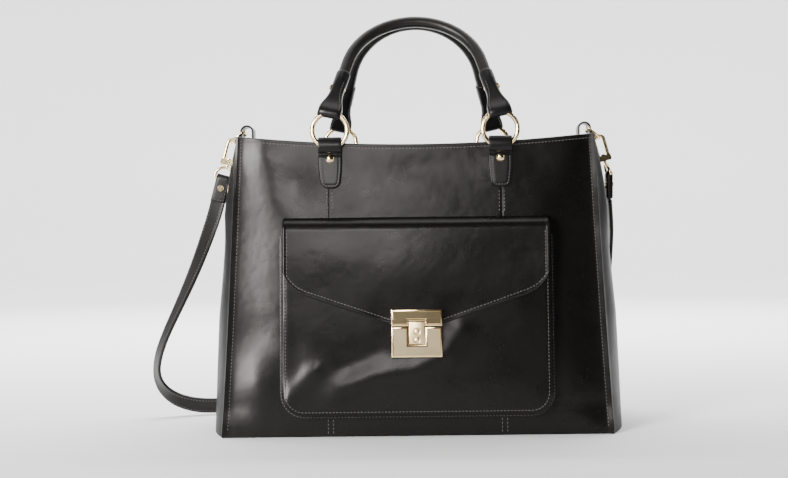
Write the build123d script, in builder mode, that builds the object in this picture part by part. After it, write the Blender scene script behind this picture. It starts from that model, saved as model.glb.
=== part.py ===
"""A leather satchel bag: panelled body, flap pocket with a tongue lock, two ring-mounted handles, shoulder strap.

Millimetres. The origin is the middle of the base's underside, +X to the bag's right as seen from the front,
the front faces -Y and +Z is up. "side" is -1 for the front and +1 for the back, "hand" is -1 for left (-X)
and +1 for right (+X).
"""
from build123d import *
from math import asin, atan, atan2, cos, degrees, pi, sin, sqrt, tan
import os

os.makedirs("parts", exist_ok=True)

# ---------------------------------------------------------------- driving sizes
# Body
base_width = 364.0        # between the bottom corners of the front panel
width_taper = 27.0        # how much narrower it is between its top corners
base_depth = 140.0
depth_taper = 28.0
body_height = 281.0       # at the top corners
top_sag = 9.0             # how far the top edge dips between the corners
leather = 2.0             # panel leather with its backing
seam_spacing = 162.0      # between the two upright seams, which the handle tabs cover
base_thickness = 2.4
board_thickness = 1.6     # stiffener under the lining
lining_thickness = 0.8
facing_thickness = 1.6    # leather band inside the mouth
facing_height = 34.0
fit_gap = 0.2             # between layers that lie against each other on curved walls
gusset_bulges = [         # how far a side gusset bulges at mid depth: height, bulge
    (0.0, 18.0),
    (body_height - 171.0, 20.0),
    (body_height - 71.0, 15.5),
    (body_height, -2.0),
]

# Front pocket
pocket_width = 250.0
pocket_bottom = 20.0      # above the base, measured up the front panel
pocket_top = body_height - 94.0
pocket_depth = 12.0       # from the front panel to the outside of the pocket
pocket_leather = 1.8
pocket_corner = 20.0
pocket_wall = 1.6         # the gusset strip around the pocket
pocket_wall_inset = 2.0
pocket_flange = 6.0       # the strip's foot, stitched to the front panel
pocket_flange_thickness = 1.2
flap_width = 248.0
flap_leather = 2.2
flap_gap = 0.3            # between flap and pocket
flap_hinge_height = pocket_top + 15.6
flap_hinge_offset = 2.0   # hinge line to front panel
flap_fold = 11.0          # radius of the fold over the pocket's mouth
flap_side_bottom = flap_hinge_height - 56.6  # where the straight sides end
flap_tip_bottom = flap_hinge_height - 99.6  # the tip that the lock's bar covers
flap_tip_width = 44.0
flap_corner = 16.0
flap_swing = 110.0

# Lock
lock_width = 47.0
bar_height = 15.5
bar_thickness = 3.6
plate_height = 28.0
plate_thickness = 5.4
plate_floor = 1.6         # metal left behind the tongue
tongue_width = 14.6
tongue_thickness = 2.7
tongue_length = 19.5
tongue_gap = 0.5          # round the tongue in its recess
lock_split = 0.6          # between the bar and the plate
lock_pin_radius = 0.9
lock_running = 0.05       # radial clearance of the tongue on its pin
knuckle_radius = 1.55
knuckle_gap = 0.35        # knuckle to flap leather
stud_radius = 3.6
stud_height = 1.0
magnet_radius = 4.0
magnet_thickness = 1.0

# Handle tabs and rings
tab_width = 22.0
tab_thickness = 3.6       # two layers
tab_bottom = body_height - 49.5  # its rounded tip, up the panel
loop_bottom = body_height - 16.5
loop_top = body_height - 1.4
loop_depth = 9.4          # how far the loop stands off the panel
loop_wall = 1.9
ring_radius = 16.4        # centreline
ring_wire = 2.2
ring_foot = body_height - 11.5  # centre of the wire at the bottom of the ring, up the panel
ring_stand_off = 4.7      # that centre to the panel
tab_rivet_height = body_height - 21.5
dome_radius = 4.2
dome_height = 2.4

# Handles
handle_spacing = 160.0    # between a handle's two rings
handle_radius = 5.5
handle_core_radius = 4.0
handle_rise = 111.0       # ring top to handle centreline at its highest
handle_bend = 66.5        # radius of the arch
handle_apart = 0.6        # between the two handles, which lean together
wrap_collar_top = 48.0    # along the leg, from the ring
wrap_collar_bottom = 38.0
wrap_collar = 1.3         # leather round the tube
wrap_waist = 25.0
wrap_waist_half = 6.2
wrap_flare = 6.0
wrap_flare_half = 11.4
wrap_half_thickness = 5.0
wrap_loop_width = 22.0
ring_room = 0.45          # wire to leather, each side
tube_start = 35.0         # along the leg, where the tube's end sits in the wrap
wrap_rivet = 29.0         # along the leg
wrap_rivet_head = 3.6
wrap_rivet_height = 1.8
rivet_shank = 1.5
rivet_fit = 0.03          # radial clearance round a rivet's shank
tube_fit = 0.04           # radial clearance of the handle's tube in its wraps and round its core

# Strap hardware
anchor_width = 16.0
anchor_thickness = 2.0
anchor_bottom = body_height - 29.0
anchor_gap = 0.3          # to the curved gusset and facing
anchor_arch = 5.7         # mid radius of the arch over the gusset's edge
anchor_arch_height = body_height + 10.5
anchor_bend_height = body_height - 15.0  # where the outer leg starts to follow the gusset
anchor_rivet_height = body_height + 3.5
anchor_rivet_head = 2.8
anchor_rivet_thickness = 0.9
d_radius = 9.8
d_arm = 6.0               # straight stretch between the bar and the bend
d_corner = 1.9
d_wire = 1.5
d_room = 0.3              # bar to leather
d_droop = 40.0            # degrees below level
clip_tilt = 15.0          # degrees outward, from straight down
hook_radius = 5.0
hook_wire = 1.6
hook_height = 20.0        # neck to the middle of the hook's bend
hook_tip = 1.5            # how far the tip comes down past that
hook_play = 0.4           # D ring to hook
clip_thickness = 5.2
clip_base_top = 4.2
clip_base_bottom = -1.5
gate_width = 2.8
gate_thickness = 3.0
gate_room = 0.25
gate_pivot = 2.0          # neck to the gate's pin
gate_pin_radius = 0.8
gate_running = 0.07
gate_knuckle = 1.9
swivel_stem = 1.3
swivel_running = 0.06
swivel_head = 2.0
swivel_head_thickness = 1.2
swivel_neck = 4.0
eye_radius = 9.6
eye_corner = 1.8
eye_wire = 1.4
eye_drop = 15.5           # neck to the eye's straight bar
strap_width = 16.0
strap_end_width = 14.8
strap_end_thickness = 6.4
strap_end_length = 24.0   # below the eye's bar
strap_end_room = 0.35
strap_rivet_drop = 10.0   # below the eye's bar
strap_rivet_head = 3.2
strap_rivet_thickness = 1.0
strap_tube = 8.0          # a round of the same section as the 16 x 3 mm strap
buckle_length = 22.0
buckle_height = 22.0
buckle_bar = 2.8
keeper_length = 8.0
keeper_height = 19.0
keeper_thickness = 11.0
keeper_place = 21.0       # from the buckle's middle

# Inside
snap_radius = 9.0
snap_thickness = 2.4
snap_stud_radius = 3.4
snap_stud_height = 1.6
snap_below_edge = 15.0
inner_pocket_width = 190.0
inner_pocket_height = 120.0
inner_pocket_thickness = 1.6
inner_pocket_top = body_height - 66.0
zip_length = 170.0
zip_width = 14.0
zip_thickness = 1.0
zip_below = 18.0          # pocket's top to the zip's middle
slider_length = 9.0
slider_width = 7.0
slider_thickness = 3.0
slider_gap = 0.15
pull_length = 24.0
pull_width = 6.0
pull_thickness = 1.4

# The strap's middle line, from the left clip, round the ground behind the bag, to the buckle and the right clip
strap_long_route = [
    (-197.9, 0, 222.4),
    (-201.3, 0, 209.8),
    (-208, 2, 192),
    (-218, 7, 168),
    (-230, 14, 143),
    (-244.5, 23, 116),
    (-260, 33, 88),
    (-270.5, 42, 64),
    (-274, 51, 44),
    (-268, 59, 27),
    (-254, 66, 15.5),
    (-234, 73, 9.4),
    (-208, 80, 8.6),
    (-168, 85, 8.6),
    (-120, 88, 8.6),
    (-70, 97, 8.6),
    (-14, 92, 8.6),
    (45, 103, 8.6),
    (102, 94, 8.6),
    (145, 95, 8.8),
    (172, 89, 17),
    (188.5, 80.5, 36),
    (196, 70.23, 61.85),
    (196, 60.23, 85.85),
]
strap_short_route = [
    (196, 51.77, 106.15),
    (196, 36.77, 142.15),
    (195.6, 18, 175),
    (194.2, 5, 201),
    (191.7, 0, 221.5),
]

# ---------------------------------------------------------------- what follows from them
top_width = base_width - width_taper
top_depth = base_depth - depth_taper
lean = degrees(atan((base_depth - top_depth) / 2 / body_height))  # the front and back panels' slope
handle_x = handle_spacing / 2


def sind(a):
    return sin(a * pi / 180)


def cosd(a):
    return cos(a * pi / 180)


panel_y = leather / cosd(lean)           # a panel's thickness, measured along Y
slope_height = body_height / cosd(lean)  # the corners' height, up the panel
seam = seam_spacing / 2
pocket_face = pocket_depth
flap_back = pocket_face + flap_gap
flap_face = flap_back + flap_leather
bar_face = flap_face + bar_thickness
bar_bottom = flap_tip_bottom - 1.0
plate_top = bar_bottom - lock_split
plate_face = pocket_face + plate_thickness
tongue_pin_offset = flap_face + knuckle_gap + knuckle_radius
tongue_pin_height = bar_bottom + 3.0
tongue_back = plate_face + 0.5 - tongue_thickness


def half_width(z):
    return (base_width + (top_width - base_width) * z / body_height) / 2


def half_depth(z):
    return (base_depth + (top_depth - base_depth) * z / body_height) / 2


def bulge(z):
    for (low, b0), (high, b1) in zip(gusset_bulges, gusset_bulges[1:]):
        if z <= high:
            return b0 + (b1 - b0) * (z - low) / (high - low)


def leaning_plane(side, inset=0.0):
    """The plane of the front or back panel's outer face: its own +Y climbs the panel, its +Z points outward."""
    return Plane(
        origin=(0, side * (base_depth / 2 - inset / cosd(lean)), 0),
        x_dir=(-side, 0, 0),
        z_dir=(0, side * cosd(lean), sind(lean)),
    )


def on_panel(side, x, up, out):
    """A point given by its world X, its height up the panel and its distance out from it."""
    return leaning_plane(side).from_local_coords(Vector(-side * x, up, out))


def levels(low, high):
    """Heights that a wall's loft passes through."""
    return [low] + [h for h, _ in gusset_bulges if low < h < high] + [high]


def body_outline(z, side_inset, face_inset):
    """The body's outline at one height, brought in from the gussets and from the panels."""
    w = half_width(z) - side_inset
    d = half_depth(z) - face_inset
    with BuildSketch(Plane.XY.offset(z)) as outline:
        with BuildLine():
            Line((-w, -d), (w, -d))
            ThreePointArc((w, -d), (w + bulge(z), 0), (w, d))
            Line((w, d), (-w, d))
            ThreePointArc((-w, d), (-w - bulge(z), 0), (-w, -d))
        make_face()
    return outline.sketch.face()


def body_core(low, high, side_inset, face_inset):
    """The space inside the body between two heights, brought in from its walls."""
    sections = [body_outline(z, side_inset, face_inset) for z in levels(low, high)]
    with BuildPart() as core:
        loft(sections=sections, ruled=True)
    return core.part


def mouth_cutter():
    """Everything above the sagging top edge."""
    w = half_width(body_height)
    with BuildPart() as cutter:
        with BuildSketch(Plane.XZ):
            with BuildLine():
                ThreePointArc((-w, body_height), (0, body_height - top_sag), (w, body_height))
                Polyline((w, body_height), (w, 2 * body_height), (-w, 2 * body_height), (-w, body_height))
            make_face()
        extrude(amount=base_depth, both=True)
    return cutter.part


def save(piece, name):
    piece.label = name
    export_step(piece, f"parts/{name}.step")


# ---------------------------------------------------------------- base
with BuildPart() as base_panel:
    with BuildSketch():
        add(body_outline(0, 0, 0))
    extrude(amount=base_thickness)
save(base_panel.part, "base_panel")

with BuildPart() as base_board:
    board_inset = leather + 2 * fit_gap
    add(body_core(base_thickness, base_thickness + board_thickness, board_inset, panel_y + 2 * fit_gap))
save(base_board.part, "base_board")


# ---------------------------------------------------------------- front and back panels, three pieces each
def body_panel(side, x_from, x_to):
    """One upright piece of the front or back, between two world X values."""
    w0 = half_width(0)
    w1 = half_width(body_height)
    with BuildPart() as panel:
        with BuildSketch(leaning_plane(side)):
            with BuildLine():
                Polyline((-w1, slope_height), (-w0, 0), (w0, 0), (w1, slope_height))
                ThreePointArc((w1, slope_height), (0, slope_height - top_sag), (-w1, slope_height))
            make_face()
            with Locations((-side * (x_from + x_to) / 2, 0)):
                Rectangle(x_to - x_from, 3 * body_height, mode=Mode.INTERSECT)
        extrude(amount=-leather)
        split(bisect_by=Plane.XY.offset(base_thickness), keep=Keep.TOP)
        if x_from < handle_x + rivet_shank and x_to > -handle_x - rivet_shank:
            with BuildSketch(leaning_plane(side)):
                with Locations((-handle_x, tab_rivet_height), (handle_x, tab_rivet_height)):
                    Circle(rivet_shank + rivet_fit)
            extrude(amount=-leather, mode=Mode.SUBTRACT)
    return panel.part


panel_pieces = {"left": (-base_width, -seam), "center": (-seam, seam), "right": (seam, base_width)}
for side, side_name in ((-1, "front"), (1, "back")):
    for piece_name, (x_from, x_to) in panel_pieces.items():
        save(body_panel(side, x_from, x_to), f"{side_name}_panel_{piece_name}")


# ---------------------------------------------------------------- side gussets
def gusset_section(z, hand):
    """The curved strip that a gusset is at one height."""
    w = half_width(z)
    d = half_depth(z) - panel_y
    b = bulge(z)
    with BuildSketch(Plane.XY.offset(z)) as section:
        with BuildLine():
            ThreePointArc((hand * w, -d), (hand * (w + b), 0), (hand * w, d))
            Line((hand * w, d), (hand * (w - leather), d))
            ThreePointArc((hand * (w - leather), d), (hand * (w - leather + b), 0), (hand * (w - leather), -d))
            Line((hand * (w - leather), -d), (hand * w, -d))
        make_face()
    return section.sketch.face()


for hand, hand_name in ((-1, "left"), (1, "right")):
    with BuildPart() as gusset:
        loft(sections=[gusset_section(z, hand) for z in levels(base_thickness, body_height)], ruled=True)
    save(gusset.part, f"gusset_{hand_name}")

# ---------------------------------------------------------------- lining and the facing round the mouth
floor_top = base_thickness + board_thickness
facing_bottom = body_height - facing_height
lining_side = leather + fit_gap
lining_face = panel_y + fit_gap

with BuildPart() as lining:
    add(body_core(floor_top, facing_bottom, lining_side, lining_face))
    inner = body_core(
        floor_top + lining_thickness,
        facing_bottom,
        lining_side + lining_thickness,
        lining_face + lining_thickness,
    )
    add(inner, mode=Mode.SUBTRACT)
save(lining.part, "lining")

with BuildPart() as mouth_facing:
    add(body_core(facing_bottom, body_height, lining_side, lining_face))
    opening = body_core(
        facing_bottom,
        body_height,
        lining_side + facing_thickness,
        lining_face + facing_thickness,
    )
    add(opening, mode=Mode.SUBTRACT)
    add(mouth_cutter(), mode=Mode.SUBTRACT)
save(mouth_facing.part, "mouth_facing")

# ---------------------------------------------------------------- magnetic snap on the facing
facing_inset = leather + fit_gap + facing_thickness
snap_height = slope_height - top_sag - snap_below_edge
for side, snap_name in ((-1, "snap_socket"), (1, "snap_stud")):
    with BuildPart() as snap:
        with BuildSketch(leaning_plane(side, facing_inset)):
            with Locations((0, snap_height)):
                Circle(snap_radius)
        extrude(amount=-snap_thickness)
        with BuildSketch(leaning_plane(side, facing_inset + snap_thickness)):
            with Locations((0, snap_height)):
                Circle(snap_stud_radius)
        if side > 0:
            extrude(amount=-snap_stud_height)
        else:
            extrude(amount=snap_stud_height + fit_gap, mode=Mode.SUBTRACT)
    save(snap.part, snap_name)

# ---------------------------------------------------------------- zip pocket on the back lining
lining_inset = leather + fit_gap + lining_thickness + fit_gap
zip_height = inner_pocket_top - zip_below

with BuildPart() as inner_pocket:
    with BuildSketch(leaning_plane(1, lining_inset)):
        with Locations((0, inner_pocket_top - inner_pocket_height / 2)):
            RectangleRounded(inner_pocket_width, inner_pocket_height, 6)
    extrude(amount=-inner_pocket_thickness)
save(inner_pocket.part, "inner_pocket")

with BuildPart() as zip_tape:
    with BuildSketch(leaning_plane(1, lining_inset + inner_pocket_thickness)):
        with Locations((0, zip_height)):
            Rectangle(zip_length, zip_width)
    extrude(amount=-zip_thickness)
save(zip_tape.part, "zip_tape")

slider_x = zip_length / 2 - slider_length
with BuildPart() as zip_slider:
    slider_inset = lining_inset + inner_pocket_thickness + zip_thickness + slider_gap
    with BuildSketch(leaning_plane(1, slider_inset)):
        with Locations((slider_x, zip_height)):
            RectangleRounded(slider_length, slider_width, 2)
    extrude(amount=-slider_thickness)
    with BuildSketch(leaning_plane(1, slider_inset + slider_thickness - pull_thickness)):
        with Locations((slider_x, zip_height - pull_length / 2)):
            RectangleRounded(pull_width, pull_length, 2.5)
    extrude(amount=-pull_thickness)
save(zip_slider.part, "zip_slider")


# ---------------------------------------------------------------- front pocket
def pocket_outline(grow, top):
    """The pocket's outline on the front panel, grown or shrunk, with square top corners."""
    w = pocket_width / 2 + grow
    low = pocket_bottom - grow
    r = pocket_corner + grow
    with BuildSketch(leaning_plane(-1)) as outline:
        with BuildLine():
            Line((-w, top), (-w, low + r))
            RadiusArc((-w, low + r), (-w + r, low), -r)
            Line((-w + r, low), (w - r, low))
            RadiusArc((w - r, low), (w, low + r), -r)
            Line((w, low + r), (w, top))
            Line((w, top), (-w, top))
        make_face()
    return outline.sketch


front_normal = leaning_plane(-1).z_dir

with BuildPart() as pocket_front:
    sheet = pocket_outline(0, pocket_top).moved(Location(front_normal * (pocket_face - pocket_leather)))
    extrude(sheet, amount=pocket_leather, dir=front_normal)
save(pocket_front.part, "pocket_front")

with BuildPart() as pocket_gusset:
    wall_height = pocket_face - pocket_leather
    extrude(pocket_outline(pocket_flange, pocket_top), amount=pocket_flange_thickness, dir=front_normal)
    extrude(pocket_outline(-pocket_wall_inset, pocket_top), amount=wall_height, dir=front_normal)
    room = pocket_outline(-pocket_wall_inset - pocket_wall, pocket_top + pocket_flange)
    extrude(room, amount=wall_height, dir=front_normal, mode=Mode.SUBTRACT)
save(pocket_gusset.part, "pocket_gusset")

# ---------------------------------------------------------------- flap
half_flap = flap_width / 2
fold_end = flap_face - flap_leather / 2   # how far out the hanging part's middle is
fold_radius = fold_end - flap_hinge_offset
side_profile = Plane.YZ.offset(-half_flap)


def flap_point(up, out):
    """A point of the flap's side profile, as the YZ sketch plane wants it."""
    p = on_panel(-1, 0, up, out)
    return (p.Y, p.Z)


with BuildPart() as pocket_flap:
    with BuildSketch(side_profile):
        with BuildLine():
            fold_center = flap_hinge_height - fold_radius
            outer = fold_radius + flap_leather / 2
            inner_r = fold_radius - flap_leather / 2
            ThreePointArc(
                flap_point(fold_center + outer, flap_hinge_offset),
                flap_point(fold_center + outer * cosd(45), flap_hinge_offset + outer * sind(45)),
                flap_point(fold_center, flap_hinge_offset + outer),
            )
            Line(
                flap_point(fold_center, flap_hinge_offset + outer),
                flap_point(fold_center, flap_hinge_offset + inner_r),
            )
            ThreePointArc(
                flap_point(fold_center, flap_hinge_offset + inner_r),
                flap_point(fold_center + inner_r * cosd(45), flap_hinge_offset + inner_r * sind(45)),
                flap_point(fold_center + inner_r, flap_hinge_offset),
            )
            Line(
                flap_point(fold_center + inner_r, flap_hinge_offset),
                flap_point(fold_center + outer, flap_hinge_offset),
            )
        make_face()
    extrude(amount=flap_width)
    with BuildSketch(leaning_plane(-1)) as flap_outline:
        with BuildLine():
            FilletPolyline(
                (-half_flap, fold_center),
                (-half_flap, flap_side_bottom - flap_corner / 2),
                (-flap_tip_width / 2, flap_tip_bottom),
                (flap_tip_width / 2, flap_tip_bottom),
                (half_flap, flap_side_bottom - flap_corner / 2),
                (half_flap, fold_center),
                radius=[flap_corner, 0.6, 0.6, flap_corner],
            )
            Line((half_flap, fold_center), (-half_flap, fold_center))
        make_face()
    hanging = flap_outline.sketch.moved(Location(front_normal * flap_back))
    extrude(hanging, amount=flap_leather, dir=front_normal)
save(pocket_flap.part, "pocket_flap")

# ---------------------------------------------------------------- lock: bar on the flap, plate on the pocket
half_lock = lock_width / 2
tongue_slot = tongue_width + 2 * tongue_gap


def front_plane(out, up=0.0, x=0.0):
    """A plane parallel to the front panel, out from it, its origin moved up the panel and across."""
    return Plane(
        origin=on_panel(-1, x, up, out),
        x_dir=(1, 0, 0),
        z_dir=front_normal,
    )


def across_plane(x, up, out):
    """A plane square to X at a place on the front: its own +X points out, its +Y climbs the panel."""
    return Plane(origin=on_panel(-1, x, up, out), x_dir=front_normal, z_dir=(-1, 0, 0))


with BuildPart() as lock_bar:
    with BuildSketch(front_plane(flap_face, bar_bottom + bar_height / 2)):
        Rectangle(lock_width, bar_height)
    extrude(amount=bar_thickness)
    chamfer(lock_bar.faces().sort_by(Axis(front_plane(0).origin, front_normal))[-1].edges(), 0.9)
    recess_height = tongue_pin_height + knuckle_radius + knuckle_gap - bar_bottom
    with BuildSketch(front_plane(flap_face, bar_bottom + recess_height / 2)):
        Rectangle(tongue_slot, recess_height)
    extrude(amount=bar_thickness, mode=Mode.SUBTRACT)
    with BuildSketch(across_plane(half_lock - 2, tongue_pin_height, tongue_pin_offset)):
        Circle(lock_pin_radius + rivet_fit)
    extrude(amount=lock_width - 4, mode=Mode.SUBTRACT)
save(lock_bar.part, "lock_bar")

with BuildPart() as lock_pin:
    with BuildSketch(across_plane(half_lock - 2, tongue_pin_height, tongue_pin_offset)):
        Circle(lock_pin_radius)
    extrude(amount=lock_width - 4)
save(lock_pin.part, "lock_pin")

tongue_bottom = tongue_pin_height - tongue_length
stud_heights = (tongue_pin_height - 7.8, tongue_pin_height - 15.4)
with BuildPart() as lock_tongue:
    with BuildSketch(front_plane(tongue_back, (tongue_pin_height + tongue_bottom) / 2)):
        Rectangle(tongue_width, tongue_length)
    extrude(amount=tongue_thickness)
    with BuildSketch(across_plane(tongue_width / 2, tongue_pin_height, tongue_pin_offset)):
        Circle(knuckle_radius)
    extrude(amount=tongue_width)
    with BuildSketch(across_plane(tongue_width / 2, tongue_pin_height, tongue_pin_offset)):
        with Locations((0, 2 * knuckle_radius)):
            Rectangle(4 * knuckle_radius, 4 * knuckle_radius)
        Circle(knuckle_radius, mode=Mode.SUBTRACT)
    extrude(amount=tongue_width, mode=Mode.SUBTRACT)
    with BuildSketch(across_plane(tongue_width / 2, tongue_pin_height, tongue_pin_offset)):
        Circle(lock_pin_radius + lock_running)
    extrude(amount=tongue_width, mode=Mode.SUBTRACT)
    for stud_up in stud_heights:
        with BuildSketch(front_plane(tongue_back + tongue_thickness, stud_up)):
            Circle(stud_radius)
        extrude(amount=stud_height, taper=30)
save(lock_tongue.part, "lock_tongue")

with BuildPart() as lock_plate:
    with BuildSketch(front_plane(pocket_face, plate_top - plate_height / 2)):
        Rectangle(lock_width, plate_height)
    extrude(amount=plate_thickness)
    chamfer(lock_plate.faces().sort_by(Axis(front_plane(0).origin, front_normal))[-1].edges(), 0.9)
    slot_bottom = tongue_bottom - tongue_gap
    with BuildSketch(front_plane(pocket_face + plate_floor, (plate_top + slot_bottom) / 2)):
        Rectangle(tongue_slot, plate_top - slot_bottom)
    extrude(amount=plate_thickness, mode=Mode.SUBTRACT)
save(lock_plate.part, "lock_plate")

with BuildPart() as lock_magnet:
    with BuildSketch(front_plane(pocket_face + plate_floor, sum(stud_heights) / 2)):
        Circle(magnet_radius)
    extrude(amount=magnet_thickness)
save(lock_magnet.part, "lock_magnet")

# ---------------------------------------------------------------- handle tabs and their rivets
for side, side_name in ((-1, "front"), (1, "back")):
    for hand, hand_name in ((-1, "left"), (1, "right")):
        face_plane = leaning_plane(side)
        middle = -side * hand * handle_x  # the tab's middle, in the plane's own X
        half_tab = tab_width / 2
        with BuildPart() as handle_tab:
            with BuildSketch(face_plane):
                with BuildLine():
                    shoulder = tab_bottom + 7.5
                    Line((middle + half_tab, loop_bottom), (middle + half_tab, shoulder + 11))
                    Line((middle + half_tab, shoulder + 11), (middle + half_tab - 1.2, shoulder))
                    ThreePointArc(
                        (middle + half_tab - 1.2, shoulder),
                        (middle, tab_bottom),
                        (middle - half_tab + 1.2, shoulder),
                    )
                    Line((middle - half_tab + 1.2, shoulder), (middle - half_tab, shoulder + 11))
                    Line((middle - half_tab, shoulder + 11), (middle - half_tab, loop_bottom))
                    Line((middle - half_tab, loop_bottom), (middle + half_tab, loop_bottom))
                make_face()
            extrude(amount=tab_thickness)
            corner = on_panel(side, hand * handle_x - half_tab, 0, 0)
            loop_plane = Plane(origin=corner, x_dir=face_plane.z_dir, z_dir=(1, 0, 0))
            climb = side  # which way the plane's own Y runs along the panel
            loop_middle = climb * (loop_bottom + loop_top) / 2
            loop_height = loop_top - loop_bottom
            with BuildSketch(loop_plane):
                with Locations((loop_depth / 2, loop_middle)):
                    RectangleRounded(loop_depth, loop_height, loop_depth / 2 - 0.1)
                with Locations((loop_depth / 4, loop_middle)):
                    Rectangle(loop_depth / 2, loop_height)
                with Locations((loop_depth / 2, loop_middle)):
                    RectangleRounded(
                        loop_depth - 2 * loop_wall,
                        loop_height - 2 * loop_wall,
                        loop_depth / 2 - loop_wall - 0.1,
                        mode=Mode.SUBTRACT,
                    )
            extrude(amount=tab_width)
            with BuildSketch(face_plane):
                with Locations((middle, tab_rivet_height)):
                    Circle(rivet_shank + rivet_fit)
            extrude(amount=tab_thickness, mode=Mode.SUBTRACT)
        save(handle_tab.part, f"handle_tab_{side_name}_{hand_name}")


def dome(plane, radius, height):
    """A rivet's domed head on a plane."""
    sphere = (radius**2 + height**2) / (2 * height)
    with BuildPart() as head:
        with BuildSketch(Plane(origin=plane.origin, x_dir=plane.x_dir, z_dir=plane.y_dir)):
            with BuildLine():
                Line((0, 0), (0, -height))
                ThreePointArc(
                    (0, -height),
                    (radius / 2, sphere - height - sqrt(sphere**2 - radius**2 / 4)),
                    (radius, 0),
                )
                Line((radius, 0), (0, 0))
            make_face()
        revolve(axis=Axis(plane.origin, plane.z_dir))
    return head.part


with BuildPart() as tab_rivets:
    for side in (-1, 1):
        for x in (-handle_x, handle_x):
            seat = on_panel(side, x, tab_rivet_height, tab_thickness)
            rivet_plane = Plane(origin=seat, x_dir=(1, 0, 0), z_dir=leaning_plane(side).z_dir)
            add(dome(rivet_plane, dome_radius, dome_height))
            with BuildSketch(rivet_plane):
                Circle(rivet_shank)
            extrude(amount=-tab_thickness - leather)
save(tab_rivets.part, "tab_rivets")

# ---------------------------------------------------------------- rings
ring_foot_point = on_panel(-1, 0, ring_foot, ring_stand_off)
ring_y = -ring_foot_point.Y
ring_foot_z = ring_foot_point.Z
ring_top_z = ring_foot_z + 2 * ring_radius


def ring_torus(side, hand, wire):
    """A handle ring at rest, with its wire as thick as asked."""
    middle = (hand * handle_x, side * ring_y, ring_foot_z + ring_radius)
    with BuildPart(Plane(origin=middle, x_dir=(1, 0, 0), z_dir=(0, 1, 0))) as torus:
        Torus(ring_radius, wire)
    return torus.part


for side, side_name in ((-1, "front"), (1, "back")):
    for hand, hand_name in ((-1, "left"), (1, "right")):
        with BuildPart() as o_ring:
            add(ring_torus(side, hand, ring_wire))
        save(o_ring.part, f"o_ring_{side_name}_{hand_name}")

# ---------------------------------------------------------------- handles
handle_lean = degrees(asin((ring_y - handle_radius - handle_apart / 2) / handle_rise))
bend_center = handle_rise - handle_bend
center_distance = sqrt(handle_x**2 + bend_center**2)
leg_length = sqrt(center_distance**2 - handle_bend**2)  # ring to where the bend starts
leg_tilt = degrees(atan2(handle_x, bend_center)) - degrees(asin(handle_bend / center_distance))


def handle_plane(side):
    """The plane a handle's middle line lies in: origin between its ring tops, +X to the right, +Y up the handle."""
    normal = (0, -cosd(handle_lean), -side * sind(handle_lean))
    return Plane(origin=(0, side * ring_y, ring_top_z), x_dir=(1, 0, 0), z_dir=normal)


def leg_plane(side, hand, along):
    """A plane square to a handle's leg: its own +X points outboard and its +Z up the leg."""
    flat = handle_plane(side)
    start = flat.from_local_coords(Vector(hand * handle_x, 0, 0))
    up = flat.from_local_coords(Vector(-hand * sind(leg_tilt), cosd(leg_tilt), 0)) - flat.origin
    outboard = flat.from_local_coords(Vector(hand * cosd(leg_tilt), sind(leg_tilt), 0)) - flat.origin
    return Plane(origin=start + up * along, x_dir=outboard, z_dir=up)


def handle_tube(side, radius, start):
    """A round bar along a handle's middle line."""
    low = handle_x - start * sind(leg_tilt)
    high = handle_x - leg_length * sind(leg_tilt)
    with BuildPart() as tube:
        with BuildLine(handle_plane(side)) as path:
            Line((-low, start * cosd(leg_tilt)), (-high, leg_length * cosd(leg_tilt)))
            ThreePointArc(
                (-high, leg_length * cosd(leg_tilt)),
                (0, handle_rise),
                (high, leg_length * cosd(leg_tilt)),
            )
            Line((high, leg_length * cosd(leg_tilt)), (low, start * cosd(leg_tilt)))
        with BuildSketch(leg_plane(side, -1, start)):
            Circle(radius)
        sweep(path=path.wires()[0])
    return tube.part


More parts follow.
